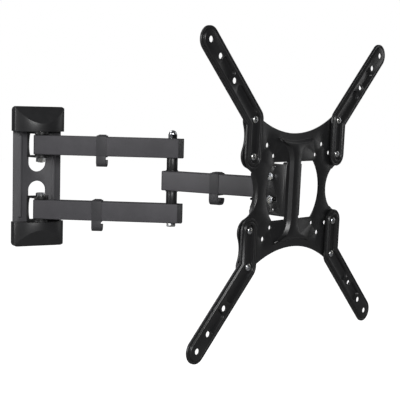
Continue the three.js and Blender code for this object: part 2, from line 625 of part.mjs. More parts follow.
// ---------- Swivel head ----------
function headBracket() {
  const far = TILT_REACH + CHEEK_PAST_TILT_AXIS;
  const web = box(
    [HEAD_SHEET, 2 * CHEEK_OUTER, CHEEK_TOP - CHEEK_BOTTOM],
    [HEAD_WEB_AT + HEAD_SHEET / 2, 0, (CHEEK_TOP + CHEEK_BOTTOM) / 2],
  );
  const ear = new THREE.Shape();
  ear.moveTo(HEAD_WEB_AT + HEAD_SHEET, EAR_RADIUS + EAR_FOOT_FLARE);
  ear.lineTo(HEAD_WEB_AT, EAR_RADIUS + EAR_FOOT_FLARE);
  ear.absarc(0, 0, EAR_RADIUS, Math.PI / 2, 1.5 * Math.PI);
  ear.lineTo(HEAD_WEB_AT, -EAR_RADIUS - EAR_FOOT_FLARE);
  ear.lineTo(HEAD_WEB_AT + HEAD_SHEET, -EAR_RADIUS - EAR_FOOT_FLARE);
  let bracket = web;
  for (const z of [EAR_INNER, -HEAD_EAR_OUTER]) {
    bracket = bracket.add(prism(ear, HEAD_SHEET, { start: z, curveSegments: 8 }));
  }
  const cheek = new THREE.Shape();
  cheek.moveTo(HEAD_WEB_AT, CHEEK_BOTTOM);
  cheek.lineTo(TILT_REACH, CHEEK_BOTTOM);
  cheek.quadraticCurveTo(far, CHEEK_BOTTOM, far, CHEEK_BOTTOM / 2);
  cheek.lineTo(far, CHEEK_TOP - CHEEK_PAST_TILT_AXIS);
  cheek.quadraticCurveTo(far, CHEEK_TOP, TILT_REACH, CHEEK_TOP);
  cheek.lineTo(HEAD_WEB_AT, CHEEK_TOP);
  for (const start of [CHEEK_OUTER - HEAD_SHEET, -CHEEK_OUTER]) {
    bracket = bracket.add(prism(cheek, HEAD_SHEET, { start, frame: OUTWARD, curveSegments: 6 }));
  }
  for (const z of [TILT_AXIS_HEIGHT, TILT_AXIS_HEIGHT - LOCK_BOLT_DROP]) {
    const width = 2 * CHEEK_OUTER + 2 * CUT_MARGIN;
    const hole = rod(TILT_SHANK + HOLE_CLEARANCE, width, { at: [TILT_REACH, -width / 2, z], along: 'y' });
    bracket = bracket.subtract(hole);
  }
  const pivotHole = rod(PIVOT_SHANK + HOLE_CLEARANCE, 2 * (HEAD_EAR_OUTER + CUT_MARGIN), {
    at: [0, 0, -HEAD_EAR_OUTER - CUT_MARGIN],
  });
  return bracket.subtract(pivotHole);
}

function head() {
  const group = new THREE.Group();
  add(group, 'head_bracket', headBracket(), powderCoat);
  const grip = 2 * HEAD_EAR_OUTER + GAP;
  const boltLength = grip + GAP + NUT_HEIGHT + THREAD_PAST_NUT;
  const bolt = add(group, 'swivel_bolt', hexBolt(PIVOT_SHANK, PIVOT_FLATS, HEAD_HEIGHT, boltLength), zinc);
  bolt.position.z = HEAD_EAR_OUTER + GAP;
  const nut = add(group, 'swivel_nut', hexNut(PIVOT_SHANK, PIVOT_FLATS, NUT_HEIGHT), zinc);
  nut.position.z = -HEAD_EAR_OUTER - GAP - NUT_HEIGHT;
  add(group, 'swivel_glide_top', glide(), nylon).position.z = TUBE_HEIGHT / 2 + GAP;
  add(group, 'swivel_glide_bottom', glide(), nylon).position.z = -TUBE_HEIGHT / 2 - GAP - GLIDE_THICKNESS;
  const outside = PLATE_EAR_OUTER + GAP;
  const tiltLength = 2 * outside + TILT_NUT_HEIGHT + THREAD_PAST_NUT;
  const heights = { tilt_pivot: TILT_AXIS_HEIGHT, tilt_lock: TILT_AXIS_HEIGHT - LOCK_BOLT_DROP };
  for (const [name, z] of Object.entries(heights)) {
    const crossBolt = hexBolt(TILT_SHANK, TILT_FLATS, TILT_HEAD_HEIGHT, tiltLength);
    const cross = add(group, `${name}_bolt`, crossBolt, zinc);
    cross.rotation.x = Math.PI / 2;
    cross.position.set(TILT_REACH, -outside, z);
    const crossNut = add(group, `${name}_nut`, hexNut(TILT_SHANK, TILT_FLATS, TILT_NUT_HEIGHT), zinc);
    crossNut.rotation.x = -Math.PI / 2;
    crossNut.position.set(TILT_REACH, outside, z);
  }
  return group;
}

// ---------- Screen plate (x forward from the plate's front face, y across, z up) ----------
const INNER_LOBE = {
  across: ARM_BOLT_ACROSS + INNER_LOBE_OFFSET,
  up: ARM_BOLT_INNER_HEIGHT + INNER_LOBE_OFFSET,
  r: INNER_LOBE_RADIUS,
};
const OUTER_LOBE = {
  across: ARM_BOLT_ACROSS + OUTER_LOBE_OFFSET,
  up: ARM_BOLT_OUTER_HEIGHT - INNER_LOBE_OFFSET,
  r: OUTER_LOBE_RADIUS,
};

function concaveRadius(alongEdge, outOfEdge, lobeRadius) {
  return (outOfEdge ** 2 + alongEdge ** 2 - lobeRadius ** 2) / (2 * (lobeRadius + outOfEdge));
}

const WAIST_RADIUS = concaveRadius(INNER_LOBE.up, INNER_LOBE.across - WAIST_HALF_WIDTH, INNER_LOBE.r);
const TOP_RADIUS = concaveRadius(OUTER_LOBE.across, OUTER_LOBE.up - APEX_HEIGHT, OUTER_LOBE.r);
const WAIST_CENTRE = WAIST_HALF_WIDTH + WAIST_RADIUS;
const TOP_CENTRE = APEX_HEIGHT + TOP_RADIUS;

function neckCentre() {
  const dx = OUTER_LOBE.across - INNER_LOBE.across;
  const dy = OUTER_LOBE.up - INNER_LOBE.up;
  const span = Math.hypot(dx, dy);
  const a = LOBE_NECK_RADIUS + INNER_LOBE.r;
  const b = LOBE_NECK_RADIUS + OUTER_LOBE.r;
  const along = (a ** 2 - b ** 2 + span ** 2) / (2 * span);
  const out = Math.sqrt(a ** 2 - along ** 2);
  return {
    across: INNER_LOBE.across + (along * dx + out * dy) / span,
    up: INNER_LOBE.up + (along * dy - out * dx) / span,
  };
}

function plateOutline() {
  const neck = neckCentre();
  const angle = (from, to) => Math.atan2(to.up - from.up, to.across - from.across);
  const waist = { across: WAIST_CENTRE, up: 0 };
  const top = { across: 0, up: TOP_CENTRE };
  const arcs = [
    { c: waist, r: WAIST_RADIUS, a0: Math.PI, a1: angle(waist, INNER_LOBE), steps: 7 },
    { c: INNER_LOBE, r: INNER_LOBE.r, a0: angle(INNER_LOBE, waist), a1: angle(INNER_LOBE, neck), steps: 8 },
    {
      c: neck, r: LOBE_NECK_RADIUS, steps: 4,
      a0: angle(neck, INNER_LOBE) + 2 * Math.PI, a1: angle(neck, OUTER_LOBE),
    },
    { c: OUTER_LOBE, r: OUTER_LOBE.r, a0: angle(OUTER_LOBE, neck), a1: angle(OUTER_LOBE, top), steps: 8 },
    { c: top, r: TOP_RADIUS, a0: angle(top, OUTER_LOBE), a1: -Math.PI / 2, steps: 8 },
  ];
  const quarter = [];
  for (const { c, r, a0, a1, steps } of arcs) {
    let turn = a1 - a0;
    while (turn > Math.PI) turn -= 2 * Math.PI;
    while (turn < -Math.PI) turn += 2 * Math.PI;
    for (let i = 0; i < steps; i += 1) {
      const a = a0 + (turn * i) / steps;
      quarter.push([c.across + r * Math.cos(a), c.up + r * Math.sin(a)]);
    }
  }
  quarter.push([0, APEX_HEIGHT]);
  const left = quarter.slice(0, -1).reverse().map(([y, z]) => [-y, z]);
  const upperHalf = [...quarter, ...left];
  const lowerHalf = upperHalf.slice(1, -1).reverse().map(([y, z]) => [y, -z]);
  return new THREE.Shape([...upperHalf, ...lowerHalf].map(([y, z]) => new THREE.Vector2(y, z)));
}

const WINDOW_SAG = WINDOW_BULGE_ACROSS - WINDOW_CORNER_ACROSS;
const WINDOW_RADIUS = (WINDOW_HALF_HEIGHT ** 2 + WINDOW_SAG ** 2) / (2 * WINDOW_SAG);

function windowEdge(up) {
  return WINDOW_BULGE_ACROSS - WINDOW_RADIUS + Math.sqrt(WINDOW_RADIUS ** 2 - up ** 2);
}

function halfMoon(inner, halfHeight, edge) {
  const points = [new THREE.Vector2(inner, -halfHeight)];
  const steps = 10;
  for (let i = 0; i <= steps; i += 1) {
    const up = halfHeight * (-1 + (2 * i) / steps);
    points.push(new THREE.Vector2(edge(up), up));
  }
  points.push(new THREE.Vector2(inner, halfHeight));
  return new THREE.Shape(points);
}

function ribShape(shrink) {
  const w = RIB_HALF_WIDTH - shrink;
  const flare = RIB_FLARE_HALF_WIDTH - 2 * shrink;
  const end = RIB_END_HEIGHT - shrink;
  const dip = end - RIB_END_DIP;
  const bend = RIB_STRAIGHT + RIB_FLARE_PULL;
  const spread = w + RIB_FLARE_SPREAD;
  const shape = new THREE.Shape();
  shape.moveTo(w, -RIB_STRAIGHT);
  shape.lineTo(w, RIB_STRAIGHT);
  shape.bezierCurveTo(w, bend, spread, end - RIB_FLARE_PULL, flare, end);
  shape.quadraticCurveTo(0, dip, -flare, end);
  shape.bezierCurveTo(-spread, end - RIB_FLARE_PULL, -w, bend, -w, RIB_STRAIGHT);
  shape.lineTo(-w, -RIB_STRAIGHT);
  shape.bezierCurveTo(-w, -bend, -spread, RIB_FLARE_PULL - end, -flare, -end);
  shape.quadraticCurveTo(0, -dip, flare, -end);
  shape.bezierCurveTo(spread, RIB_FLARE_PULL - end, w, -bend, w, -RIB_STRAIGHT);
  return shape;
}

function ribSolid(shrink, shift) {
  const nearTop = 0.8;
  const steps = [
    [0, -PLATE_SHEET / 2], [0, 0],
    [RIB_SLOPE_WIDTH * nearTop, RIB_RISE * nearTop], [RIB_SLOPE_WIDTH, RIB_RISE],
  ];
  return loft(steps.map(([inset, height]) => {
    const points = ribShape(shrink + inset).getPoints(5).slice(0, -1).map(({ x, y }) => [x, y]);
    return { points, height: height + shift };
  }));
}

function plateEar(side) {
  const depth = (up) => windowEdge(up) - WINDOW_INNER;
  const half = WINDOW_HALF_HEIGHT - EAR_KERF;
  const shape = halfMoon(PLATE_SHEET / 2, half, depth);
  const start = side > 0 ? PLATE_EAR_INNER : -PLATE_EAR_OUTER;
  const geometry = new THREE.ExtrudeGeometry(shape, { depth: PLATE_SHEET, bevelEnabled: false });
  geometry.translate(0, 0, start);
  geometry.applyMatrix4(basis([-1, 0, 0], [0, 0, 1], [0, 1, 0]));
  return toSolid(geometry);
}

function lockSlot() {
  const pivot = [-PLATE_TO_TILT_AXIS, TILT_AXIS_HEIGHT];
  const r = TILT_SHANK + HOLE_CLEARANCE;
  const margin = 1;
  const from = -Math.PI / 2 - radians(TILT_TRAVEL_UP + margin);
  const to = -Math.PI / 2 + radians(TILT_TRAVEL_DOWN + margin);
  const at = (a) => [pivot[0] + LOCK_BOLT_DROP * Math.cos(a), pivot[1] + LOCK_BOLT_DROP * Math.sin(a)];
  const shape = new THREE.Shape();
  shape.absarc(...pivot, LOCK_BOLT_DROP + r, from, to);
  shape.absarc(...at(to), r, to, to + Math.PI);
  shape.absarc(...pivot, LOCK_BOLT_DROP - r, to, from, true);
  shape.absarc(...at(from), r, from + Math.PI, from + 2 * Math.PI);
  const width = 2 * (PLATE_EAR_OUTER + CUT_MARGIN);
  return prism(shape, width, { start: -width / 2, frame: OUTWARD });
}

function waistFlange(side) {
  const half = radians(WAIST_FLANGE_HALF_ANGLE);
  const shape = new THREE.Shape();
  shape.absarc(WAIST_CENTRE, 0, WAIST_RADIUS, Math.PI + half, Math.PI - half, true);
  shape.absarc(WAIST_CENTRE, 0, WAIST_RADIUS + PLATE_SHEET, Math.PI - half, Math.PI + half);
  const geometry = new THREE.ExtrudeGeometry(shape, {
    depth: WAIST_FLANGE_DEPTH, bevelEnabled: false, curveSegments: 5,
  });
  if (side < 0) geometry.rotateZ(Math.PI);
  geometry.translate(0, 0, -WAIST_FLANGE_DEPTH);
  geometry.applyMatrix4(FACING);
  return toSolid(geometry);
}

function throughPlate(across, up, radius) {
  const length = PLATE_SHEET + COLLAR_DEPTH + 2 * CUT_MARGIN;
  return rod(radius, length, { at: [-PLATE_SHEET - COLLAR_DEPTH - CUT_MARGIN, across, up], along: 'x' });
}

function screenPlate() {
  let plate = prism(plateOutline(), PLATE_SHEET, { start: -PLATE_SHEET, frame: FACING });
  plate = plate.add(ribSolid(0, 0)).subtract(ribSolid(PLATE_SHEET, -PLATE_SHEET));
  const cutDepth = PLATE_SHEET + 2 * CUT_MARGIN;
  for (const side of SIDES) {
    const opening = halfMoon(WINDOW_INNER, WINDOW_HALF_HEIGHT, windowEdge);
    const cutter = new THREE.ExtrudeGeometry(opening, { depth: cutDepth, bevelEnabled: false });
    if (side < 0) cutter.rotateZ(Math.PI);
    cutter.translate(0, 0, -PLATE_SHEET - CUT_MARGIN);
    cutter.applyMatrix4(FACING);
    plate = plate.subtract(toSolid(cutter)).add(plateEar(side)).add(waistFlange(side));
  }
  for (const across of SIDES) {
    for (const up of SIDES) {
      for (const height of [ARM_BOLT_INNER_HEIGHT, ARM_BOLT_OUTER_HEIGHT]) {
        const at = [-PLATE_SHEET - COLLAR_DEPTH, across * ARM_BOLT_ACROSS, up * height];
        plate = plate.add(rod(COLLAR_RADIUS, COLLAR_DEPTH + PLATE_SHEET / 2, { at, along: 'x' }));
      }
    }
  }
  for (const across of SIDES) {
    for (const up of SIDES) {
      for (const height of [ARM_BOLT_INNER_HEIGHT, ARM_BOLT_OUTER_HEIGHT]) {
        const radius = ARM_SCREW_SHANK + HOLE_CLEARANCE;
        plate = plate.subtract(throughPlate(across * ARM_BOLT_ACROSS, up * height, radius));
      }
      for (const hole of [HOLE_100, HOLE_130, HOLE_SIDE]) {
        plate = plate.subtract(throughPlate(across * hole.across, up * hole.up, hole.radius));
      }
    }
  }
  const width = 2 * (PLATE_EAR_OUTER + CUT_MARGIN);
  const pivotHole = rod(TILT_SHANK + HOLE_CLEARANCE, width, {
    at: [-PLATE_TO_TILT_AXIS, -width / 2, TILT_AXIS_HEIGHT], along: 'y',
  });
  for (const up of EAR_HOLE.heights) {
    const at = [-EAR_HOLE.behind, -width / 2, up];
    plate = plate.subtract(rod(EAR_HOLE.radius, width, { at, along: 'y', sides: 12 }));
  }
  return plate.subtract(pivotHole).subtract(lockSlot());
}

// ---------- Extension arms ----------
function armLoop(radius, start, end) {
  const bend = [ARM_BOLT_ACROSS, ARM_BOLT_OUTER_HEIGHT];
  const points = [];
  const arc = (centre, from, to, steps) => {
    for (let i = 0; i <= steps; i += 1) {
      const a = radians(from + ((to - from) * i) / steps);
      points.push([centre[0] + radius * Math.cos(a), centre[1] + radius * Math.sin(a)]);
    }
  };
  arc(start, 180, 360, 10);
  points.push([bend[0] + radius, bend[1] - radius * TAN_HALF_BEND]);
  arc(end, -45, 135, 10);
  arc(bend, 135, 180, 3);
  return points;
}

function loft(rings) {
  const count = rings[0].points.length;
  const positions = rings.flatMap(({ points, height }) => points.flatMap(([y, z]) => [height, y, z]));
  const index = [];
  for (let k = 0; k + 1 < rings.length; k += 1) {
    for (let i = 0; i < count; i += 1) {
      const a = k * count + i;
      const b = k * count + ((i + 1) % count);
      index.push(a, b, a + count, b, b + count, a + count);
    }
  }
  const capFaces = (ringIndex) => {
    const contour = rings[ringIndex].points.map(([y, z]) => new THREE.Vector2(y, z));
    return THREE.ShapeUtils.triangulateShape(contour, []).map((f) => f.map((v) => v + ringIndex * count));
  };
  for (const [a, b, c] of capFaces(0)) index.push(a, c, b);
  for (const [a, b, c] of capFaces(rings.length - 1)) index.push(a, b, c);
  const geometry = new THREE.BufferGeometry();
  geometry.setAttribute('position', new THREE.Float32BufferAttribute(positions, 3));
  geometry.setIndex(index);
  return toSolid(geometry);
}

function armRings(profile, start, end) {
  return profile.map(([radius, height]) => ({ points: armLoop(radius, start, end), height }));
}

function diagonal(distance) {
  return [distance, distance];
}

function shortPocket(grow, from, to) {
  const [, middle, inner] = ARM_HOLES;
  const length = (middle - inner) * Math.SQRT2 - 2 * SHORT_POCKET_FROM_HOLE;
  const geometry = new THREE.BoxGeometry(to - from, length + 2 * grow, 2 * (POCKET_FLOOR_HALF_WIDTH + grow));
  geometry.rotateX(Math.PI / 4);
  geometry.translate((from + to) / 2, (middle + inner) / 2, (middle + inner) / 2);
  return toSolid(geometry);
}

function extensionArm() {
  const start = [ARM_BOLT_ACROSS, ARM_BOLT_INNER_HEIGHT];
  const end = diagonal(ARM_END);
  const lip = ARM_RIM_HEIGHT - ARM_SHEET;
  const groove = ARM_RIM_HEIGHT - GROOVE_DEPTH;
  const grooveOut = ARM_HALF_WIDTH - RIM_WIDTH;
  const outer = loft(armRings([
    [ARM_HALF_WIDTH, lip],
    [ARM_HALF_WIDTH, ARM_RIM_HEIGHT - RIM_EDGE],
    [ARM_HALF_WIDTH - RIM_EDGE, ARM_RIM_HEIGHT],
    [grooveOut, ARM_RIM_HEIGHT],
    [grooveOut - GROOVE_DEPTH, groove],
    [RIDGE_HALF_WIDTH + RIDGE_SLOPE, groove],
    [RIDGE_HALF_WIDTH, ARM_PAD_HEIGHT],
  ], start, end));
  const under = loft(armRings([
    [RIDGE_HALF_WIDTH, lip - CUT_MARGIN],
    [RIDGE_HALF_WIDTH, lip],
    [RIDGE_HALF_WIDTH - RIDGE_SLOPE, ARM_PAD_HEIGHT - ARM_SHEET],
  ], start, end));
  const innermost = ARM_HOLES[ARM_HOLES.length - 1];
  const longEnd = diagonal(innermost - (PAD_HALF_LENGTH + POCKET_TOP_HALF_WIDTH) * Math.SQRT1_2);
  const longPocket = (floorHalfWidth, topHalfWidth, from, to) => (
    loft(armRings([[floorHalfWidth, from], [topHalfWidth, to]], start, longEnd))
  );
  const panFoot = (POCKET_FLOOR_HALF_WIDTH + POCKET_TOP_HALF_WIDTH) / 2;
  const panTop = ARM_PAD_HEIGHT - RIM_EDGE;
  const pans = longPocket(panFoot, panFoot + PAN_FLARE, GAP, panTop)
    .add(shortPocket(ARM_SHEET, ARM_FLOOR_HEIGHT - ARM_SHEET, panTop));
  const above = ARM_PAD_HEIGHT + CUT_MARGIN;
  let arm = outer.subtract(under).add(pans)
    .subtract(longPocket(POCKET_FLOOR_HALF_WIDTH, POCKET_TOP_HALF_WIDTH, ARM_FLOOR_HEIGHT, above))
    .subtract(shortPocket(0, ARM_FLOOR_HEIGHT, above));
  const drill = (across, up, radius) => (
    rod(radius, above + 2 * CUT_MARGIN, { at: [-CUT_MARGIN, across, up], along: 'x' })
  );
  for (const at of ARM_HOLES) arm = arm.subtract(drill(at, at, ARM_HOLE_RADIUS));
  for (const up of [ARM_BOLT_INNER_HEIGHT, ARM_BOLT_OUTER_HEIGHT]) {
    arm = arm.subtract(drill(ARM_BOLT_ACROSS, up, ARM_SCREW_SHANK + HOLE_CLEARANCE));
  }
  return toGeometry(arm);
}

function screenFrame() {
  const group = new THREE.Group();
  const face = new THREE.Group();
  face.position.set(PLATE_TO_TILT_AXIS, 0, -TILT_AXIS_HEIGHT);
  group.add(face);
  add(face, 'screen_plate', screenPlate(), powderCoat);
  const arm = extensionArm();
  const screw = toGeometry(armScrew());
  screw.rotateY(Math.PI / 2);
  const rows = { top: 1, bottom: -1 };
  const columns = { left: -1, right: 1 };
  for (const [row, up] of Object.entries(rows)) {
    for (const [column, across] of Object.entries(columns)) {
      add(face, `arm_${row}_${column}`, mirrored(arm, across, up), powderCoat);
      const heights = { inner: ARM_BOLT_INNER_HEIGHT, outer: ARM_BOLT_OUTER_HEIGHT };
      for (const [which, height] of Object.entries(heights)) {
        const mesh = add(face, `arm_screw_${row}_${column}_${which}`, screw.clone(), zinc);
        mesh.position.set(ARM_FLOOR_HEIGHT + GAP, across * ARM_BOLT_ACROSS, up * height);
      }
    }
  }
  return group;
}

// ---------- Assembly ----------
function swungFromNormal(group, parentAngle, angle) {
  group.rotation.z = radians(angle - parentAngle);
  return group;
}

const mount = new THREE.Group();
const arm1 = swungFromNormal(firstArm(), 90, FIRST_ARM_ANGLE);
const arm2 = swungFromNormal(secondArm(), FIRST_ARM_ANGLE, SECOND_ARM_ANGLE);
const swivel = swungFromNormal(head(), SECOND_ARM_ANGLE, HEAD_ANGLE);
const frame = screenFrame();
arm1.position.y = -PIVOT_DEPTH;
arm2.position.x = FIRST_ARM_LENGTH;
swivel.position.x = SECOND_ARM_LENGTH;
frame.position.set(TILT_REACH, 0, TILT_AXIS_HEIGHT);
frame.rotation.y = radians(TILT_DOWN);
swivel.add(frame);
arm2.add(swivel);
arm1.add(arm2);
mount.add(wallGroup(), arm1);

export default mount;
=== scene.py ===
"""Full motion wall mount for a flat screen: the finished look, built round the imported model.

Every piece is modelled in millimetres in its own drawing position, then placed in metres.
Drawing position of a sheet: x across, y up, z towards the room. Of an arm: x along it, z up.
"""
import json
import math

import bmesh
import bpy
from mathutils import Matrix, Vector


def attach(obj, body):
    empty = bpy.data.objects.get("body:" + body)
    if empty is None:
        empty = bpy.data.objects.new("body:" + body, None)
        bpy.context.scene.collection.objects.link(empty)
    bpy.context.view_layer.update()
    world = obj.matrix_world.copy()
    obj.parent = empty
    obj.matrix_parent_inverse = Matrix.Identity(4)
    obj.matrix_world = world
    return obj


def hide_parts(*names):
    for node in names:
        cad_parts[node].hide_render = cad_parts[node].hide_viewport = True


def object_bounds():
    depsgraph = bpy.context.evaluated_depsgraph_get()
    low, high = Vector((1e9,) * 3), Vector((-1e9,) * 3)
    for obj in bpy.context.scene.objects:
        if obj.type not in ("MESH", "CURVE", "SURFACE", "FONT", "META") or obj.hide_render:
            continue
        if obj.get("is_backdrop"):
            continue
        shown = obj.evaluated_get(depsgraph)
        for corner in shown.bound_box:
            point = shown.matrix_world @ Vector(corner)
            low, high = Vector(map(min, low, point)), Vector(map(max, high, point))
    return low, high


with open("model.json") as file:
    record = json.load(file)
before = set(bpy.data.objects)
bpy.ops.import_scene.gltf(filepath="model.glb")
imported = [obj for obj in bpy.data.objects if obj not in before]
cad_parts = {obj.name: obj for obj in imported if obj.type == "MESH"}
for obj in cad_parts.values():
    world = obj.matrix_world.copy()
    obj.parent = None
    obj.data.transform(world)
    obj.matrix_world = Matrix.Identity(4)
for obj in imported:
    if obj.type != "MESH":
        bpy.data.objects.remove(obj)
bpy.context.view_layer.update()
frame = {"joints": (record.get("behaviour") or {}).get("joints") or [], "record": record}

RECORD = frame["record"]
JOINTS = {joint["name"]: joint for joint in frame["joints"]}
MOUNTS = {mount["name"]: mount for mount in RECORD["mounts"]}
BODY_OF = {node: body for body, nodes in RECORD["behaviour"]["bodies"].items() for node in nodes}

MM = 0.001
UP = Vector((0, 0, 1))
RING_MARK = "ring"

# ---------- Sizes, millimetres ----------
GAP = 0.3
HOLE_CLEARANCE = 0.4
CUT = 4                        # how far a cutter runs past the metal
FINE_EDGE = 0.35               # rounding left on a sheared and coated edge

TUBE_HEIGHT = 30
TUBE_DEPTH = 18
TUBE_WALL = 1.5
TUBE_CORNER = 2
TUBE_LEVEL = 50                # first-arm tubes, above and below the middle
FIRST_ARM = 205
SECOND_ARM = 150
FIRST_PAST_WALL = 8
FIRST_PAST_ELBOW = 10
SECOND_PAST = 12
THIN_CAP = 1.2
THICK_CAP = 6.5

PIVOT_SHANK = 4
PIVOT_FLATS = 13
HEAD_HEIGHT = 5.3
NUT_HEIGHT = 6.5
THREAD_END = 1.5
THREAD_STEP = 0.5
THREAD_ROOT = 0.9              # the root's share of the shank's radius
HEX_FACE_SHARE = 0.96          # the flat top's share of the width over flats
CAP_NUT_HEX = 6.5
CAP_NUT_HEIGHT = 12.5
GLIDE_RADIUS = 9.5
GLIDE = 1.2
SPACER_RADIUS = 8.5
STACK = GAP + GLIDE + GAP

PLATE_WIDTH = 77
PLATE_HEIGHT = 213
PLATE_THICKNESS = 3
PLATE_CORNER = 6
OPENING_RADIUS = 14
OPENING_FROM = 7.3
OPENING_TO = 84
BEAD_AT = 27.3
BEAD_WIDTH = 7.4
BEAD_LENGTH = 131
BEAD_STEPS = ((0.35, 0.1), (0.5, 0.45), (0.5, 0.65), (0.5, 0.5), (0.6, 0.25), (0.5, 0.05))   # inset, rise
SLOT_WIDTH = 8
SLOT_LENGTH = 16
SLOT_ACROSS = 22.5
SLOT_UP = 95.5
PIVOT_DEPTH = 20
BRACKET_SHEET = 3
BRACKET_SIDE = 2.5
BRACKET_WEB = 2.5
BRACKET_SWEEP = 30             # radius of the hollow in a bracket's side
EAR_RADIUS = 12

COVER_WALL = 2
COVER_SIDE_DEPTH = 13
COVER_DEPTH = 30.5
COVER_FACET = 26
COVER_CORNER = 6.5
COVER_END_ROUND = 6

CLIP_WIDTH = 15
CLIP_STRAP = 1.4
CLIP_BAND = 0.5                # where the strap lies on the tube's flat sides
CLIP_HOOK = 2.4
CLIP_BEND = 7.5
CLIP_DROP = 16.3
CLIP_TIP = 9
CLIP_LATCH = 1.3
LATCH_LINE = (                 # its top line from the right: slope, flat, notch, flat
    (-1.2, CLIP_LATCH * 0.75 + GAP), (-1.2, CLIP_LATCH * 0.25), (-5.5, 0),
    (-0.4, -0.7), (-3.4, 0), (-0.4, 0.5), (-2.2, 0),
)
CLIP_AT = {"upper": 96, "lower": 90, "second": 80}

TILT_REACH = 38
TILT_UP = 18.5
LOCK_DROP = 33
TILT_SHANK = 3
TILT_FLATS = 10
TILT_HEAD = 4
TILT_NUT = 5
HEAD_SHEET = 2.5
HEAD_WEB = 18.5
HEAD_BEND = 3.2
CHEEK_TOP = 30
CHEEK_BOTTOM = -27
CHEEK_PAST = 8.5

SCREEN_SHEET = 2.5
PLATE_TO_TILT = 25
BOLT_ACROSS = 100
BOLT_INNER = 50
BOLT_OUTER = 100
WINDOW_INNER = 19.2
WINDOW_CORNER = 47
WINDOW_BULGE = 63.6
WINDOW_HALF_HEIGHT = 41
EAR_KERF = 4
WAIST = 82
APEX = 81
FLANGE_DEPTH = 8
FLANGE_HALF_ANGLE = 50
RIB_HALF_WIDTH = 12.5
RIB_STRAIGHT = 40
RIB_FLARE_RADIUS = 30
RIB_FLARE_TURN = 56
RIB_FLARE_EASE = 3.2            # degrees the flare turns less for each millimetre of inset
RIB_END = 76
RIB_END_HALF_WIDTH = 42
RIB_END_DIP = 4
RIB_STEPS = ((0, 0), (0.5, 0.15), (1.1, 0.7), (3.7, 4.4), (4.3, 5.1), (5.2, 5.5))   # inset, rise
FLANGE_BEND = 2.2
FLANGE_BEND_STEPS = 5
FLANGE_TAPER = ((33, 0.6), (37, 0.9), (41, 1.1), (44, 1.3), (47, 1.4))   # past an angle, shallower by
EAR_BEND = 2.9
EAR_EYES = (31.8, -28.8)
EAR_EYES_BACK = 20.5
EAR_EYE_RADIUS = 1.6
TILT_TRAVEL = (-6.6, 13.4)
SCREEN_HOLES = ((50, 50, 3.2), (65, 65, 3.6), (84, 52, 3.4))

ARM_PAD = 6.3
ARM_FLOOR = 2.5
ARM_SHEET = 1.8
ARM_RIM_STEPS = (
    (17.2, 1.8), (17.2, 4.1), (17.05, 4.6), (16.7, 4.85), (16.2, 4.9), (14.7, 4.9), (14.2, 4.6),
    (13.8, 4.15), (13.1, 4.1), (12.75, 4.5), (12.2, 5.6), (11.8, 6.1), (11.3, ARM_PAD),
)
POCKET_STEPS = ((9.2, ARM_PAD), (8.8, 6.1), (8.4, 5.5), (7.7, 3.3), (7.4, 2.75), (6.8, ARM_FLOOR))
LONG_POCKET_TIP = 136.4
SHORT_POCKET_END = 14.2
SHORT_POCKET_CORNER = 3.4
ARM_HOLES = (200, 180, 150)
ARM_HOLE_RADIUS = 4.2
SCREW_SHANK = 3
SCREW_HEAD = 5.2
SCREW_HEAD_HEIGHT = 3
COLLAR_RADIUS = 6
COLLAR_DEPTH = 4

EAR_INNER = TUBE_HEIGHT / 2 + STACK
GLIDE_LEVELS = (TUBE_HEIGHT / 2 + GAP, -TUBE_HEIGHT / 2 - GAP - GLIDE)
EAR_OUTER = EAR_INNER + BRACKET_SHEET
HEAD_EAR_OUTER = EAR_INNER + HEAD_SHEET
COVER_RIM = TUBE_LEVEL + EAR_OUTER + 2 * GAP
COVER_HALF_WIDTH = PLATE_WIDTH / 2 + GAP + COVER_WALL
COVER_END = PLATE_HEIGHT / 2 + GAP + COVER_WALL
EAR_OUTSIDE = WINDOW_INNER + GAP
CHEEK_OUTSIDE = EAR_OUTSIDE - SCREEN_SHEET - GAP


# ---------- Where things are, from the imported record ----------
def axes(origin, across, up, out):
    """A drawing position: the world directions of its x, y and z, and its origin."""
    turn = Matrix((across, up, out)).transposed().to_4x4()
    return Matrix.Translation(origin) @ turn


def arm_position(origin, along):
    along = Vector(along).normalized()
    return axes(origin, along, UP.cross(along), UP)


wall_at = Vector(JOINTS["wall_swing"]["pos_m"])
elbow_at = Vector(JOINTS["elbow_swing"]["pos_m"])
swivel_at = Vector(JOINTS["head_swivel"]["pos_m"])
tilt_at = Vector(JOINTS["tilt"]["pos_m"])
tilt_axis = Vector(JOINTS["tilt"]["axis"])
facing = Vector(MOUNTS["screen_plate_face"]["axis"])

WALL = axes(Vector((0, 0, 0)), (1, 0, 0), (0, 1, 0), (0, 0, 1))
WALL_SHEET = axes(Vector((0, 0, 0)), (1, 0, 0), (0, 0, 1), (0, -1, 0))
ARM_1 = arm_position(wall_at, elbow_at - wall_at)
ARM_2 = arm_position(elbow_at, swivel_at - elbow_at)
HEAD = arm_position(swivel_at, tilt_axis.cross(UP))
face_up = facing.cross(tilt_axis)
face_at = tilt_at + (facing * PLATE_TO_TILT - face_up * TILT_UP) * MM
FACE = axes(face_at, tilt_axis, face_up, facing)


def shifted(position, x=0, y=0, z=0):
    return position @ Matrix.Translation(Vector((x, y, z)) * MM)


# ---------- Modelling by hand ----------
def everything():
    """Selects all that is visible in the open mesh."""
    bpy.ops.mesh.select_all(action="SELECT")


def scale_by(value, about=(0, 0, 0)):
    """Scales the selection about a point."""
    bpy.ops.transform.resize(value=value, center_override=about)


def start(kind, **how):
    """A new primitive, alone in the selection and open in edit mode."""
    bpy.ops.object.select_all(action="DESELECT")
    getattr(bpy.ops.mesh, f"primitive_{kind}_add")(**how)
    bpy.ops.object.mode_set(mode="EDIT")
    bpy.ops.mesh.select_mode(type="VERT")
    everything()
    return bpy.context.object


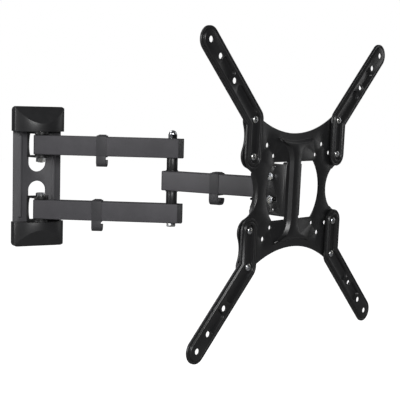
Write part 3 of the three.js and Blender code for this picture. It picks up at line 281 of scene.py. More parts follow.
def start_empty():
    """A mesh with nothing in it yet, open in edit mode, to draw outlines in."""
    piece = start("plane")
    bpy.ops.mesh.delete(type="VERT")
    return piece


def close():
    """Leaves edit mode and puts the piece's place into its mesh."""
    bpy.ops.object.mode_set(mode="OBJECT")
    settle()
    return bpy.context.object


def choose(piece):
    """Makes the piece the only selected object and the active one."""
    bpy.ops.object.select_all(action="DESELECT")
    piece.select_set(True)
    bpy.context.view_layer.objects.active = piece


def reopen(piece):
    choose(piece)
    bpy.ops.object.mode_set(mode="EDIT")
    bpy.ops.mesh.select_all(action="DESELECT")


def pick(test, what="verts"):
    """Selects the points, edges or faces of the open mesh whose place passes the test."""
    modes = {"verts": "VERT", "edges": "EDGE", "faces": "FACE"}
    bpy.ops.mesh.select_mode(type=modes[what])
    bpy.ops.mesh.select_all(action="DESELECT")
    mesh = bmesh.from_edit_mesh(bpy.context.edit_object.data)
    for part in getattr(mesh, what):
        if what == "verts":
            part.select = test(part.co)
        elif what == "edges":
            a, b = part.verts
            part.select = test(a.co) and test(b.co)
        else:
            part.select = test(part.calc_center_median(), part.normal)
    mesh.select_flush_mode()
    bmesh.update_edit_mesh(bpy.context.edit_object.data)


def face_selected_to(direction):
    """Turns the selected flat face so that it looks along direction."""
    mesh = bmesh.from_edit_mesh(bpy.context.edit_object.data)
    if any(f.select and f.normal.dot(direction) < 0 for f in mesh.faces):
        bpy.ops.mesh.flip_normals()


def push(x=0, y=0, z=0):
    bpy.ops.mesh.extrude_region_move(TRANSFORM_OT_translate={"value": (x, y, z)})


def slab(low, height):
    """Fills the outline that was drawn and pulls it up into a solid that starts at low."""
    weld()
    bpy.ops.mesh.edge_face_add()
    everything()
    move(z=low)
    push(z=height)
    return close()


def move(x=0, y=0, z=0):
    bpy.ops.transform.translate(value=(x, y, z))


def arc(centre, degrees, steps):
    """Swings the selected point about centre, anticlockwise for positive degrees."""
    turn = math.radians(-degrees)
    bpy.ops.mesh.spin(steps=steps, angle=turn, center=(centre[0], centre[1], 0), axis=(0, 0, 1))


def pen(x, y):
    bpy.ops.mesh.primitive_plane_add(size=1, location=(x, y, 0))
    bpy.ops.mesh.merge(type="CENTER")


def rounded_loop(x, y, width, height, radius, steps=6):
    """A rounded rectangle, or a slot when the radius is half its width."""
    bpy.ops.mesh.primitive_plane_add(size=1, location=(x, y, 0))
    scale_by((width, height, 1), (x, y, 0))
    reach = min(radius, min(width, height) / 2 - 0.001)
    bpy.ops.mesh.bevel(affect="VERTICES", offset=reach, segments=steps)
    bpy.ops.mesh.delete(type="ONLY_FACE")


def round_loop(x, y, radius, points=24):
    bpy.ops.mesh.primitive_circle_add(vertices=points, radius=radius, location=(x, y, 0))


def weld():
    everything()
    bpy.ops.mesh.remove_doubles(threshold=0.01)


def fill_between_loops():
    """Fills the sheet between its outline and the holes drawn in it, facing the room."""
    bpy.ops.mesh.select_mode(type="VERT")
    weld()
    bpy.ops.mesh.fill(use_beauty=True)
    everything()
    mesh = bmesh.from_edit_mesh(bpy.context.edit_object.data)
    if sum(f.normal.z * f.calc_area() for f in mesh.faces) < 0:
        bpy.ops.mesh.flip_normals()


def set_aside():
    """Hides what is drawn so far, so that the next outline is alone."""
    bpy.ops.mesh.select_mode(type="VERT")
    everything()
    bpy.ops.mesh.hide(unselected=False)


def bring_back(scale=(1, 1, 1), z=0):
    """Scales and lifts what was drawn alone, then shows the rest again."""
    everything()
    scale_by(scale)
    move(z=z)
    bpy.ops.mesh.reveal(select=False)


def stepped(draw, steps):
    """Draws one outline at several sizes and heights, and joins each ring to the next."""
    mesh = bmesh.from_edit_mesh(bpy.context.edit_object.data)
    mesh.verts.layers.int.new(RING_MARK)
    for number, (size, height) in enumerate(steps):
        set_aside()
        draw(size)
        weld()
        move(z=height)
        mesh = bmesh.from_edit_mesh(bpy.context.edit_object.data)
        mark = mesh.verts.layers.int[RING_MARK]
        for point in mesh.verts:
            if not point.hide:
                point[mark] = number + 1
    bpy.ops.mesh.reveal(select=False)
    for number in range(1, len(steps)):
        select_rings(number, number + 1)
        bpy.ops.mesh.bridge_edge_loops()
    select_rings(len(steps))
    mesh = bmesh.from_edit_mesh(bpy.context.edit_object.data)
    mesh.verts.layers.int.remove(mesh.verts.layers.int[RING_MARK])


def select_rings(*rings):
    bpy.ops.mesh.select_mode(type="EDGE")
    bpy.ops.mesh.select_all(action="DESELECT")
    mesh = bmesh.from_edit_mesh(bpy.context.edit_object.data)
    mark = mesh.verts.layers.int[RING_MARK]
    for edge in mesh.edges:
        edge.select = edge.verts[0][mark] == edge.verts[1][mark] and edge.verts[0][mark] in rings
    bmesh.update_edit_mesh(bpy.context.edit_object.data)


def fill_level(height, test=lambda co: True):
    """Fills between every loop that lies at this height and passes the test."""
    pick(lambda co: abs(co.z - height) < 0.001 and test(co))
    bpy.ops.mesh.select_mode(type="EDGE")
    bpy.ops.mesh.fill(use_beauty=True)


def look_out(piece):
    """Turns the open sheet's faces so that its widest flat part faces the room."""
    reopen(piece)
    everything()
    bpy.ops.mesh.remove_doubles(threshold=0.01)
    bpy.ops.mesh.normals_make_consistent(inside=False)
    mesh = bmesh.from_edit_mesh(piece.data)
    if sum(f.normal.z * f.calc_area() for f in mesh.faces) < 0:
        bpy.ops.mesh.flip_normals()
    return close()


def press(steps):
    """Presses the selected face in small insets, each with its rise, as a die does."""
    for inset, rise in steps:
        bpy.ops.mesh.inset(thickness=inset, use_even_offset=True)
        move(z=rise)


def modifier(piece, kind, **settings):
    """Adds a modifier and applies it."""
    made = piece.modifiers.new(kind.title(), kind)
    for name, value in settings.items():
        setattr(made, name, value)
    choose(piece)
    bpy.ops.object.modifier_apply(modifier=made.name)
    return piece


def thicken(piece, thickness, even=True):
    """Gives an open sheet its thickness, behind its faces."""
    return outward(modifier(piece, "SOLIDIFY", thickness=thickness, offset=-1, use_even_offset=even))


def soften(piece, width=FINE_EDGE, segments=2, above=40):
    """Rounds every edge sharper than the angle."""
    modifier(
        piece, "BEVEL", width=width, segments=segments, limit_method="ANGLE",
        angle_limit=math.radians(above), use_clamp_overlap=True, harden_normals=False,
    )
    return piece


def cut_with(piece, cutter, operation="DIFFERENCE"):
    modifier(piece, "BOOLEAN", operation=operation, object=cutter, solver="EXACT")
    bpy.data.objects.remove(cutter)
    return piece


def drill(piece, holes):
    """Cuts round holes: each is a centre, a radius, a length and the axis it runs along."""
    turns = {"x": (0, math.pi / 2, 0), "y": (math.pi / 2, 0, 0), "z": (0, 0, 0)}
    for centre, radius, length, axis in holes:
        start("cylinder", vertices=32, radius=radius, depth=length, location=centre, rotation=turns[axis])
        cut_with(piece, close())
    return piece


def joined(*pieces):
    bpy.ops.object.select_all(action="DESELECT")
    for piece in pieces:
        piece.select_set(True)
    bpy.context.view_layer.objects.active = pieces[0]
    bpy.ops.object.join()
    return pieces[0]


def settle():
    """Applies the selected object's place to its mesh."""
    bpy.ops.object.transform_apply(location=True, rotation=True, scale=True)


def lay(piece, position):
    """Moves a drawn piece to a drawing position, in its mesh."""
    piece.matrix_world = position
    choose(piece)
    settle()
    return piece


def outward(piece):
    reopen(piece)
    everything()
    bpy.ops.mesh.remove_doubles(threshold=1e-6)
    bpy.ops.mesh.normals_make_consistent(inside=False)
    return close()


def copy_of(piece):
    twin = piece.copy()
    twin.data = piece.data.copy()
    bpy.context.collection.objects.link(twin)
    return twin


def place(piece, node, position, material, smooth=35):
    """Puts a drawn piece where its CAD node is, in its finish, riding on its body."""
    piece.name = f"{node}_finished"
    piece.data.name = piece.name
    lay(piece, position @ Matrix.Scale(MM, 4))
    outward(piece)
    bpy.ops.object.shade_smooth_by_angle(angle=math.radians(smooth))
    piece.data.materials.clear()
    piece.data.materials.append(material)
    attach(piece, BODY_OF[node])
    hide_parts(node)
    return piece


# ---------- Shader groups ----------
DUST_COLOUR = (0.16, 0.155, 0.15, 1)


def group(name, inputs, outputs):
    made = bpy.data.node_groups.new(name, "ShaderNodeTree")
    for label, value in inputs.items():
        kind = "NodeSocketColor" if isinstance(value, tuple) else "NodeSocketFloat"
        made.interface.new_socket(label, in_out="INPUT", socket_type=kind).default_value = value
    for label, kind in outputs.items():
        made.interface.new_socket(label, in_out="OUTPUT", socket_type=kind)
    return made, made.nodes.new("NodeGroupInput"), made.nodes.new("NodeGroupOutput")


def noise(nodes, links, at, scale, detail=3, roughness=0.5):
    made = nodes.new("ShaderNodeTexNoise")
    made.inputs["Detail"].default_value = detail
    made.inputs["Roughness"].default_value = roughness
    if isinstance(scale, (int, float)):
        made.inputs["Scale"].default_value = scale
    else:
        links.new(scale, made.inputs["Scale"])
    links.new(at, made.inputs["Vector"])
    return made.outputs["Fac"]


def math_node(nodes, links, operation, *values):
    made = nodes.new("ShaderNodeMath")
    made.operation = operation
    for socket, value in zip(made.inputs, values):
        if isinstance(value, (int, float)):
            socket.default_value = value
        else:
            links.new(value, socket)
    return made.outputs[0]


def between(nodes, links, value, low, high, to_low=0.0, to_high=1.0):
    made = nodes.new("ShaderNodeMapRange")
    links.new(value, made.inputs["Value"])
    ends = {"From Min": low, "From Max": high, "To Min": to_low, "To Max": to_high}
    for name, number in ends.items():
        if isinstance(number, (int, float)):
            made.inputs[name].default_value = number
        else:
            links.new(number, made.inputs[name])
    return made.outputs["Result"]


def mixed(nodes, links, share, first, second, blend="MIX"):
    made = nodes.new("ShaderNodeMix")
    made.data_type = "RGBA"
    made.blend_type = blend
    sockets = {"Factor": made.inputs[0], "A": made.inputs[6], "B": made.inputs[7]}
    for name, value in (("Factor", share), ("A", first), ("B", second)):
        if isinstance(value, (int, float, tuple)):
            sockets[name].default_value = value
        else:
            links.new(value, sockets[name])
    return made.outputs[2]


def coat_group():
    """Baked powder or moulded plastic: grain height, gloss drift and a faint cloud in the colour."""
    made, source, result = group(
        "coat_surface",
        {
            "Colour": (0.02, 0.02, 0.02, 1), "Grain Scale": 900.0, "Grain Depth": 1.0,
            "Roughness": 0.4, "Drift": 0.06,
        },
        {"Colour": "NodeSocketColor", "Roughness": "NodeSocketFloat", "Height": "NodeSocketFloat"},
    )
    nodes, links = made.nodes, made.links
    at = nodes.new("ShaderNodeTexCoord").outputs["Object"]
    grain = noise(nodes, links, at, source.outputs["Grain Scale"], detail=4, roughness=0.6)
    peel = noise(nodes, links, at, 330, detail=2)
    cloud = noise(nodes, links, at, 21, detail=4, roughness=0.6)
    depth, drift = source.outputs["Grain Depth"], source.outputs["Drift"]
    height = math_node(nodes, links, "ADD", math_node(nodes, links, "MULTIPLY", grain, 0.7), peel)
    links.new(math_node(nodes, links, "MULTIPLY", height, depth), result.inputs["Height"])
    swing = math_node(nodes, links, "MULTIPLY", math_node(nodes, links, "SUBTRACT", cloud, 0.5), drift)
    speck = math_node(nodes, links, "MULTIPLY", math_node(nodes, links, "SUBTRACT", grain, 0.5), drift)
    rough = math_node(nodes, links, "ADD", source.outputs["Roughness"], swing)
    links.new(math_node(nodes, links, "ADD", rough, speck), result.inputs["Roughness"])
    shade = between(nodes, links, cloud, 0.3, 0.7, 0.86, 1.14)
    tone = nodes.new("ShaderNodeVectorMath")
    tone.operation = "SCALE"
    links.new(source.outputs["Colour"], tone.inputs[0])
    links.new(shade, tone.inputs["Scale"])
    links.new(tone.outputs["Vector"], result.inputs["Colour"])
    return made


def dust_group():
    """Sparse pale specks and a light film that lie on faces that look up."""
    made, source, result = group(
        "settled_dust",
        {"Colour": (0.02, 0.02, 0.02, 1), "Amount": 0.5},
        {"Colour": "NodeSocketColor"},
    )
    nodes, links = made.nodes, made.links
    at = nodes.new("ShaderNodeTexCoord").outputs["Object"]
    normal = nodes.new("ShaderNodeNewGeometry").outputs["Normal"]
    split = nodes.new("ShaderNodeSeparateXYZ")
    links.new(normal, split.inputs[0])
    upward = between(nodes, links, split.outputs["Z"], 0.35, 1.0)
    cells = nodes.new("ShaderNodeTexVoronoi")
    cells.inputs["Scale"].default_value = 520
    links.new(at, cells.inputs["Vector"])
    speck = between(nodes, links, cells.outputs["Distance"], 0.06, 0.16, 1.0, 0.0)
    patch = between(nodes, links, noise(nodes, links, at, 60, detail=3), 0.45, 0.7)
    specks = math_node(nodes, links, "MULTIPLY", speck, patch)
    film = math_node(nodes, links, "MULTIPLY", patch, 0.25)
    lying = math_node(nodes, links, "MAXIMUM", specks, film)
    cover = math_node(nodes, links, "MULTIPLY", lying, upward)
    share = math_node(nodes, links, "MULTIPLY", cover, source.outputs["Amount"])
    dusted = mixed(nodes, links, share, source.outputs["Colour"], DUST_COLOUR)
    links.new(dusted, result.inputs["Colour"])
    return made


COAT = coat_group()
DUST = dust_group()


def new_material(name):
    made = bpy.data.materials.new(name)
    made.use_nodes = True
    nodes = made.node_tree.nodes
    shader = nodes["Principled BSDF"]
    return made, nodes, made.node_tree.links, shader


def coated(name, colour, roughness, grain=900, depth=1.0, bump=0.00004, drift=0.08, dust=0.4):
    """A black coat or plastic: the shared surface, dust on top faces, and its own gloss."""
    made, nodes, links, shader = new_material(name)
    surface = nodes.new("ShaderNodeGroup")
    surface.node_tree = COAT
    values = {
        "Colour": (*colour, 1), "Grain Scale": grain, "Grain Depth": depth,
        "Roughness": roughness, "Drift": drift,
    }
    for label, value in values.items():
        surface.inputs[label].default_value = value
    dusty = nodes.new("ShaderNodeGroup")
    dusty.node_tree = DUST
    dusty.inputs["Amount"].default_value = dust
    links.new(surface.outputs["Colour"], dusty.inputs["Colour"])
    links.new(dusty.outputs["Colour"], shader.inputs["Base Color"])
    links.new(surface.outputs["Roughness"], shader.inputs["Roughness"])
    relief = nodes.new("ShaderNodeBump")
    relief.inputs["Strength"].default_value = 1.0
    relief.inputs["Distance"].default_value = bump
    links.new(surface.outputs["Height"], relief.inputs["Height"])
    links.new(relief.outputs["Normal"], shader.inputs["Normal"])
    return made


def plated(name, colour, tint, roughness, streak=700):
    """Bright plating: fine turning lines, a faint tint that drifts, and smudges in the gloss."""
    made, nodes, links, shader = new_material(name)
    at = nodes.new("ShaderNodeTexCoord").outputs["Object"]
    cloud = noise(nodes, links, at, 240, detail=3)
    fine = noise(nodes, links, at, streak * 3, detail=3, roughness=0.7)
    share = between(nodes, links, cloud, 0.35, 0.65)
    links.new(mixed(nodes, links, share, (*colour, 1), (*tint, 1)), shader.inputs["Base Color"])
    gloss = between(nodes, links, fine, 0.3, 0.7, roughness * 0.8, roughness * 1.3)
    links.new(gloss, shader.inputs["Roughness"])
    relief = nodes.new("ShaderNodeBump")
    relief.inputs["Distance"].default_value = 0.00001
    links.new(fine, relief.inputs["Height"])
    links.new(relief.outputs["Normal"], shader.inputs["Normal"])
    shader.inputs["Metallic"].default_value = 1.0
    return made


PRESSED_BLACK = coated(
    "pressed_steel_black", (0.0085, 0.0085, 0.009), 0.33, grain=950, bump=0.00002, dust=0.2,
)
FORMED_BLACK = coated("bracket_steel_black", (0.009, 0.009, 0.0095), 0.38, grain=950, bump=0.00003)
TUBE_GREY = coated(
    "tube_coat_grey_black", (0.058, 0.056, 0.062), 0.46, grain=1050, drift=0.1, dust=0.5,
)
PLATE_GREY = coated("wall_plate_coat", (0.062, 0.061, 0.066), 0.46, grain=850, bump=0.00005, drift=0.1)
COVER_BLACK = coated("cover_plastic", (0.017, 0.017, 0.018), 0.34, grain=1500, bump=0.00002, drift=0.05)
CLIP_BLACK = coated("clip_plastic", (0.036, 0.035, 0.039), 0.5, grain=700, depth=1.6, bump=0.00006)
CAP_BLACK = coated("cap_plastic", (0.022, 0.022, 0.024), 0.45, grain=1100)
NYLON = coated("washer_nylon", (0.012, 0.012, 0.012), 0.4, grain=1600, bump=0.00002, dust=0.1)
ZINC = plated("zinc_plate", (0.50, 0.52, 0.57), (0.58, 0.57, 0.52), 0.24)
CHROME = plated("polished_cap", (0.80, 0.81, 0.83), (0.72, 0.74, 0.78), 0.1, streak=400)


# ---------- Fasteners ----------
def hexagon(flats, height):
    """A hexagon whose top corners are turned off at a cone, as on a real bolt head."""
    corner = flats / math.sqrt(3)
    body = start("cylinder", vertices=6, radius=corner, depth=height, location=(0, 0, height / 2))
    close()
    face = flats / 2 * HEX_FACE_SHARE
    start(
        "cone", vertices=72, radius1=face + height * math.sqrt(3), radius2=face, depth=height,
        location=(0, 0, height / 2),
    )
    return soften(cut_with(body, close(), "INTERSECT"), 0.18, 2, 28)


def threaded_rod(radius, length, threads):
    """A shank pointing down from z = 0, with a few thread ridges and a chamfer at its end."""
    shank = start("circle", vertices=24, radius=radius, fill_type="NGON", location=(0, 0, 0.5))
    everything()
    push(z=-(length - threads - 0.5))
    for ridge in range(round(threads / THREAD_STEP)):
        push(z=-THREAD_STEP / 2)
        size = (THREAD_ROOT, 1 / THREAD_ROOT)[ridge % 2]
        scale_by((size, size, 1))
        push(z=-THREAD_STEP / 2)
    push(z=-THREAD_STEP)
    scale_by((0.85, 0.85, 1))
    close()
    return shank


def hex_bolt(shank, flats, height, length):
    return joined(hexagon(flats, height), threaded_rod(shank, length, 4))


def hex_nut(shank, flats, height):
    nut = hexagon(flats, height)
    return drill(nut, [((0, 0, height / 2), shank + HOLE_CLEARANCE, height + 2 * CUT, "z")])


def ring(outer, inner, height, edge=0.2):
    """A tube or washer standing on z = 0."""
    made = start("circle", vertices=64, radius=outer)
    bpy.ops.mesh.primitive_circle_add(vertices=64, radius=inner)
    everything()
    bpy.ops.mesh.bridge_edge_loops()
    everything()
    push(z=height)
    close()
    outward(made)
    return soften(made, edge, 2, 50)


def cap_nut():
    """A domed nut: the hexagon with a turned dome on it."""
    radius = PIVOT_FLATS / 2 - GAP
    sunk = 0.2
    dome = start("uv_sphere", segments=40, ring_count=20, radius=radius)
    bpy.ops.mesh.bisect(plane_co=(0, 0, 0), plane_no=(0, 0, -1), use_fill=True, clear_outer=True)
    everything()
    squat = (CAP_NUT_HEIGHT - CAP_NUT_HEX) / radius
    scale_by((1, 1, squat))
    move(z=CAP_NUT_HEX - sunk)
    close()
    return joined(hexagon(PIVOT_FLATS, CAP_NUT_HEX), dome)


def arm_screw():
    """A pan head screw with a cross recess; the head stands on z = 0."""
    screw = start("circle", vertices=40, radius=SCREW_HEAD, fill_type="NGON")
    everything()
    outline = ((1.0, 0.4), (0.985, 0.2), (0.95, 0.25), (0.88, 0.25), (0.78, 0.25), (0.62, 0.2))
    left = SCREW_HEAD_HEIGHT
    reached = 1.0
    for share, rise in outline:
        up = rise * SCREW_HEAD_HEIGHT / sum(step for _, step in outline) * 0.97
        push(z=up)
        scale_by((share / reached, share / reached, 1))
        reached = share
        left -= up
    bpy.ops.mesh.inset(thickness=1.2)
    move(z=left)
    close()
    tail = threaded_rod(SCREW_SHANK, ARM_FLOOR + GAP + SCREEN_SHEET + COLLAR_DEPTH, 5)
    for turn in (0, math.pi / 2):
        blade = start("cube", size=1, location=(0, 0, SCREW_HEAD_HEIGHT), rotation=(0, 0, turn))
        side = (1.5, 6.6, 3.2) if turn == 0 else (6.6, 1.5, 3.2)
        scale_by(side, (0, 0, SCREW_HEAD_HEIGHT))
        pick(lambda co: co.z < SCREW_HEAD_HEIGHT)
        scale_by((0.55, 0.55, 1))
        cut_with(screw, close())
    return joined(screw, tail)


# ---------- Wall group ----------
def wall_plate():
    """The plate on the wall: two openings, two long raised beads and four screw slots."""
    piece = start_empty()
    rounded_loop(0, 0, PLATE_WIDTH, PLATE_HEIGHT, PLATE_CORNER)
    for side in (-1, 1):
        rounded_loop(side * BEAD_AT, 0, BEAD_WIDTH, BEAD_LENGTH, BEAD_WIDTH / 2, 8)
    for up in (-1, 1):
        middle = up * (OPENING_FROM + OPENING_TO) / 2
        rounded_loop(0, middle, 2 * OPENING_RADIUS, OPENING_TO - OPENING_FROM, OPENING_RADIUS, 14)
        for side in (-1, 1):
            rounded_loop(side * SLOT_ACROSS, up * SLOT_UP, SLOT_LENGTH, SLOT_WIDTH, SLOT_WIDTH / 2)
    fill_between_loops()
    for side in (-1, 1):
        middle = Vector((side * BEAD_AT, 0, 0))
        half = Vector((BEAD_WIDTH / 2 + 0.1, BEAD_LENGTH / 2 + 0.1, 0))
        pick(lambda co: abs(co.x - middle.x) < half.x and abs(co.y) < half.y)
        bpy.ops.mesh.edge_face_add()
        face_selected_to(UP)
        press(BEAD_STEPS)
    everything()
    move(z=PLATE_THICKNESS)
    close()
    return soften(thicken(piece, PLATE_THICKNESS), 0.6, 3, 50)


def pivot_bracket():
    """A folded bracket: two round ears on a web whose sides curve in between them."""
    foot = PLATE_THICKNESS + GAP
    half = OPENING_RADIUS + BRACKET_SIDE
    clear = PIVOT_DEPTH - TUBE_DEPTH / 2 - 2 * GAP
    ears = []
    for low in (EAR_INNER, -EAR_OUTER):
        ear = start_empty()
        pen(half, -foot)
        push(y=-BRACKET_WEB)
        push(y=foot + BRACKET_WEB - clear)
        push(x=EAR_RADIUS - half, y=clear - PIVOT_DEPTH)
        arc((0, -PIVOT_DEPTH), -180, 24)
        push(x=EAR_RADIUS - half, y=PIVOT_DEPTH - clear)
        push(y=clear - foot)
        slab(low, BRACKET_SHEET)
        ears.append(outward(ear))
    walls = []
    across = foot + BRACKET_WEB + BRACKET_SWEEP
    rise = math.sqrt(BRACKET_SWEEP ** 2 - (across - clear) ** 2)
    turn = 180 - math.degrees(math.atan2(rise, clear - across))
    for inner in (-OPENING_RADIUS - BRACKET_SIDE, OPENING_RADIUS):
        wall = start_empty()
        pen(foot, -EAR_OUTER)
        push(x=clear - foot)
        push(y=BRACKET_SHEET)
        arc((across, rise - EAR_INNER), -turn, 10)
        push(y=2 * (EAR_INNER - rise))
        arc((across, EAR_INNER - rise), -turn, 10)
        push(y=BRACKET_SHEET)
        push(x=foot - clear)
        slab(0, BRACKET_SIDE)
        lay(wall, axes((inner, 0, 0), (0, -1, 0), (0, 0, 1), (1, 0, 0)))
        walls.append(outward(wall))
    bracket = ears[0]
    for part in (ears[1], *walls):
        cut_with(bracket, part, "UNION")
    drill(bracket, [((0, -PIVOT_DEPTH, 0), PIVOT_SHANK + HOLE_CLEARANCE, 2 * EAR_OUTER + CUT, "z")])
    return soften(bracket, 0.5, 2, 50)


def cover():
    """The top cover: a bowed front, sliced by a slanted face, hollowed from the back."""
    sagitta = COVER_DEPTH - COVER_SIDE_DEPTH
    bow = (COVER_HALF_WIDTH ** 2 + sagitta ** 2) / (2 * sagitta)
    behind = bow - COVER_DEPTH
    corner = COVER_HALF_WIDTH - COVER_CORNER
    level = behind - math.sqrt((bow - COVER_CORNER) ** 2 - corner ** 2)
    turn = math.degrees(math.atan2(level - behind, corner))
    shell = start_empty()
    pen(COVER_HALF_WIDTH, 0)
    push(y=level)
    arc((corner, level), turn, 8)
    arc((0, behind), -180 - 2 * turn, 40)
    arc((-corner, level), turn, 8)
    push(y=-level)
    slab(COVER_RIM, COVER_END - COVER_RIM)
    outward(shell)
    reopen(shell)
    everything()
    slope = Vector((0, -COVER_FACET, sagitta)).normalized()
    top_edge = (0, -COVER_SIDE_DEPTH, COVER_END)
    bpy.ops.mesh.bisect(plane_co=top_edge, plane_no=slope, use_fill=True, clear_outer=True)
    close()
    outward(shell)
    mould = start_empty()
    rounded_loop(0, 0, 2 * COVER_HALF_WIDTH, 2 * (COVER_END - COVER_RIM), COVER_END_ROUND, 6)
    slab(-CUT, COVER_DEPTH + 2 * CUT)
    lay(mould, axes((0, 0, COVER_RIM), (1, 0, 0), (0, 0, 1), (0, -1, 0)))
    cut_with(shell, outward(mould), "INTERSECT")
    soften(shell, 1.0, 4, 24)
    reopen(shell)
    pick(lambda middle, normal: normal.y > 0.98, "faces")
    bpy.ops.mesh.delete(type="FACE")
    close()
    thicken(shell, COVER_WALL)
    radius = PIVOT_FLATS / math.sqrt(3) + 3 * GAP
    notch = start_empty()
    pen(radius, CUT)
    push(y=-CUT - PIVOT_DEPTH)
    arc((0, -PIVOT_DEPTH), -180, 24)
    push(y=PIVOT_DEPTH + CUT)
    slab(COVER_RIM - CUT, 2 * CUT)
    return cut_with(shell, outward(notch))


# ---------- Tubes and what sits on them ----------
def tube(first, last, holes):
    """A rectangular tube along x with the bolt holes through its top and bottom."""
    piece = start_empty()
    rounded_loop(0, 0, TUBE_DEPTH, TUBE_HEIGHT, TUBE_CORNER, 5)
    weld()
    push(z=last - first)
    close()
    outward(piece)
    thicken(piece, TUBE_WALL)
    stand_on_end(piece, first)
    bore = PIVOT_SHANK + HOLE_CLEARANCE
    return drill(piece, [((x, 0, 0), bore, TUBE_HEIGHT + CUT, "z") for x in holes])


def end_cap(thickness, grooves):
    """A push-in cap over a tube's end, grooved round its sides, drawn with the tube's end at x = 0."""
    def outline(size):
        rounded_loop(0, 0, TUBE_DEPTH - 2 * size, TUBE_HEIGHT - 2 * size, TUBE_CORNER - size, 5)

    edge = min(0.5, thickness / 2)
    steps = [(0.25, GAP), (0, GAP + 0.15)]
    pitch = (thickness - 2 * edge) / max(grooves, 1)
    for number in range(grooves):
        at = GAP + edge + pitch * (number + 0.5)
        steps += [(0, at - 0.42), (0.42, at - 0.22), (0.42, at + 0.22), (0, at + 0.42)]
    end = GAP + thickness
    steps += [(0, end - edge), (edge * 0.3, end - edge * 0.3), (edge, end)]
    if grooves:
        steps.append((1.6, end + 0.1))
    piece = start_empty()
    stepped(outline, steps)
    bpy.ops.mesh.edge_face_add()
    pick(lambda co: co.z < GAP + 0.01)
    bpy.ops.mesh.edge_face_add()
    close()
    outward(piece)
    for number in range(grooves - 1):
        at = (number - (grooves - 2) / 2) * TUBE_DEPTH / grooves
        start("cube", size=1, location=(at, 0, end))
        scale_by((1.0, TUBE_HEIGHT - 4, 1.0), (at, 0, end))
        cut_with(piece, close())
    soften(piece, 0.12, 1, 50)
    return stand_on_end(piece, 0)


def stand_on_end(piece, at):
    """Lays a piece that was drawn upwards along the arm, from x = at."""
    return lay(piece, axes((at, 0, 0), (0, 1, 0), (0, 0, 1), (1, 0, 0)))


def cable_clip():
    """A strap round the tube with a latch on top and a hook below that holds the cables."""
    inner_x = TUBE_DEPTH / 2 + GAP
    inner_y = TUBE_HEIGHT / 2 + GAP
    outer_x = inner_x + CLIP_STRAP
    outer_y = inner_y + CLIP_STRAP
    strap = start_empty()
    rounded_loop(0, 0, 2 * inner_x, 2 * inner_y, TUBE_CORNER, 4)
    rounded_loop(0, 0, 2 * (inner_x + CLIP_BAND), 2 * outer_y, TUBE_CORNER + CLIP_BAND, 4)
    everything()
    bpy.ops.mesh.bridge_edge_loops()
    everything()
    push(z=CLIP_WIDTH)
    close()
    outward(strap)
    bottom = -TUBE_HEIGHT / 2 - CLIP_DROP
    bend = CLIP_BEND
    hook = start_empty()
    pen(-outer_x, -outer_y + TUBE_CORNER)
    push(y=bottom + bend + outer_y - TUBE_CORNER)
    arc((-outer_x + bend, bottom + bend), 90, 6)
    push(x=2 * (outer_x - bend))
    arc((outer_x - bend, bottom + bend), 90, 6)
    push(y=CLIP_TIP - bend)
    arc((outer_x - CLIP_HOOK / 2, bottom + CLIP_TIP), 180, 6)
    push(y=bend - CLIP_TIP)
    arc((outer_x - bend, bottom + bend), -90, 6)
    push(x=-2 * (outer_x - bend))
    arc((-outer_x + bend, bottom + bend), -90, 6)
    push(y=-outer_y + GAP - bottom - bend)
    slab(0, CLIP_WIDTH)
    outward(hook)
    latch = start_empty()
    pen(-outer_x + TUBE_CORNER, outer_y - GAP)
    push(x=2 * (outer_x - TUBE_CORNER))
    for x, y in LATCH_LINE:
        push(x=x, y=y)
    slab(CLIP_WIDTH * 0.16, CLIP_WIDTH * 0.68)
    outward(latch)
    clip = cut_with(cut_with(strap, hook, "UNION"), latch, "UNION")
    soften(clip, 0.45, 3, 40)
    return stand_on_end(clip, -CLIP_WIDTH / 2)


# ---------- Swivel head ----------
def head_bracket():
    """A U-shaped bracket: a web across, cheeks for the tilt bolts and ears for the swivel bolt."""
    far = TILT_REACH + CHEEK_PAST
    bend = HEAD_BEND
    bracket = start_empty()
    pen(far, -CHEEK_OUTSIDE)
    push(x=HEAD_WEB + bend - far)
    arc((HEAD_WEB + bend, -CHEEK_OUTSIDE + bend), -90, 6)
    push(y=2 * (CHEEK_OUTSIDE - bend))
    arc((HEAD_WEB + bend, CHEEK_OUTSIDE - bend), -90, 6)
    push(x=far - HEAD_WEB - bend)
    weld()
    move(z=CHEEK_BOTTOM)
    push(z=CHEEK_TOP - CHEEK_BOTTOM)
    pick(lambda co: co.x > far - 0.01)
    bpy.ops.mesh.bevel(affect="VERTICES", offset=CHEEK_PAST, segments=8)
    everything()
    bpy.ops.mesh.normals_make_consistent(inside=False)
    mesh = bmesh.from_edit_mesh(bracket.data)
    if any(abs(f.calc_center_median().x - HEAD_WEB) < 0.01 and f.normal.x > 0 for f in mesh.faces):
        bpy.ops.mesh.flip_normals()
    close()
    thicken(bracket, HEAD_SHEET)
    for low in (EAR_INNER, -HEAD_EAR_OUTER):
        ear = start_empty()
        pen(HEAD_WEB + 1, EAR_RADIUS + 1)
        push(x=-HEAD_WEB - 1, y=-1)
        arc((0, 0), 180, 24)
        push(x=HEAD_WEB + 1, y=-1)
        slab(low, HEAD_SHEET)
        cut_with(bracket, outward(ear), "UNION")
    holes = [((0, 0, 0), PIVOT_SHANK + HOLE_CLEARANCE, 2 * HEAD_EAR_OUTER + CUT, "z")]
    for up in (TILT_UP, TILT_UP - LOCK_DROP):
        holes.append(((TILT_REACH, 0, up), TILT_SHANK + HOLE_CLEARANCE, 2 * CHEEK_OUTSIDE + CUT, "y"))
    return soften(drill(bracket, holes), 0.4, 2, 50)


# ---------- Screen plate ----------
INNER_LOBE = (BOLT_ACROSS + 2, BOLT_INNER + 2, 18)
OUTER_LOBE = (BOLT_ACROSS + 5, BOLT_OUTER - 2, 14)
NECK_RADIUS = 40


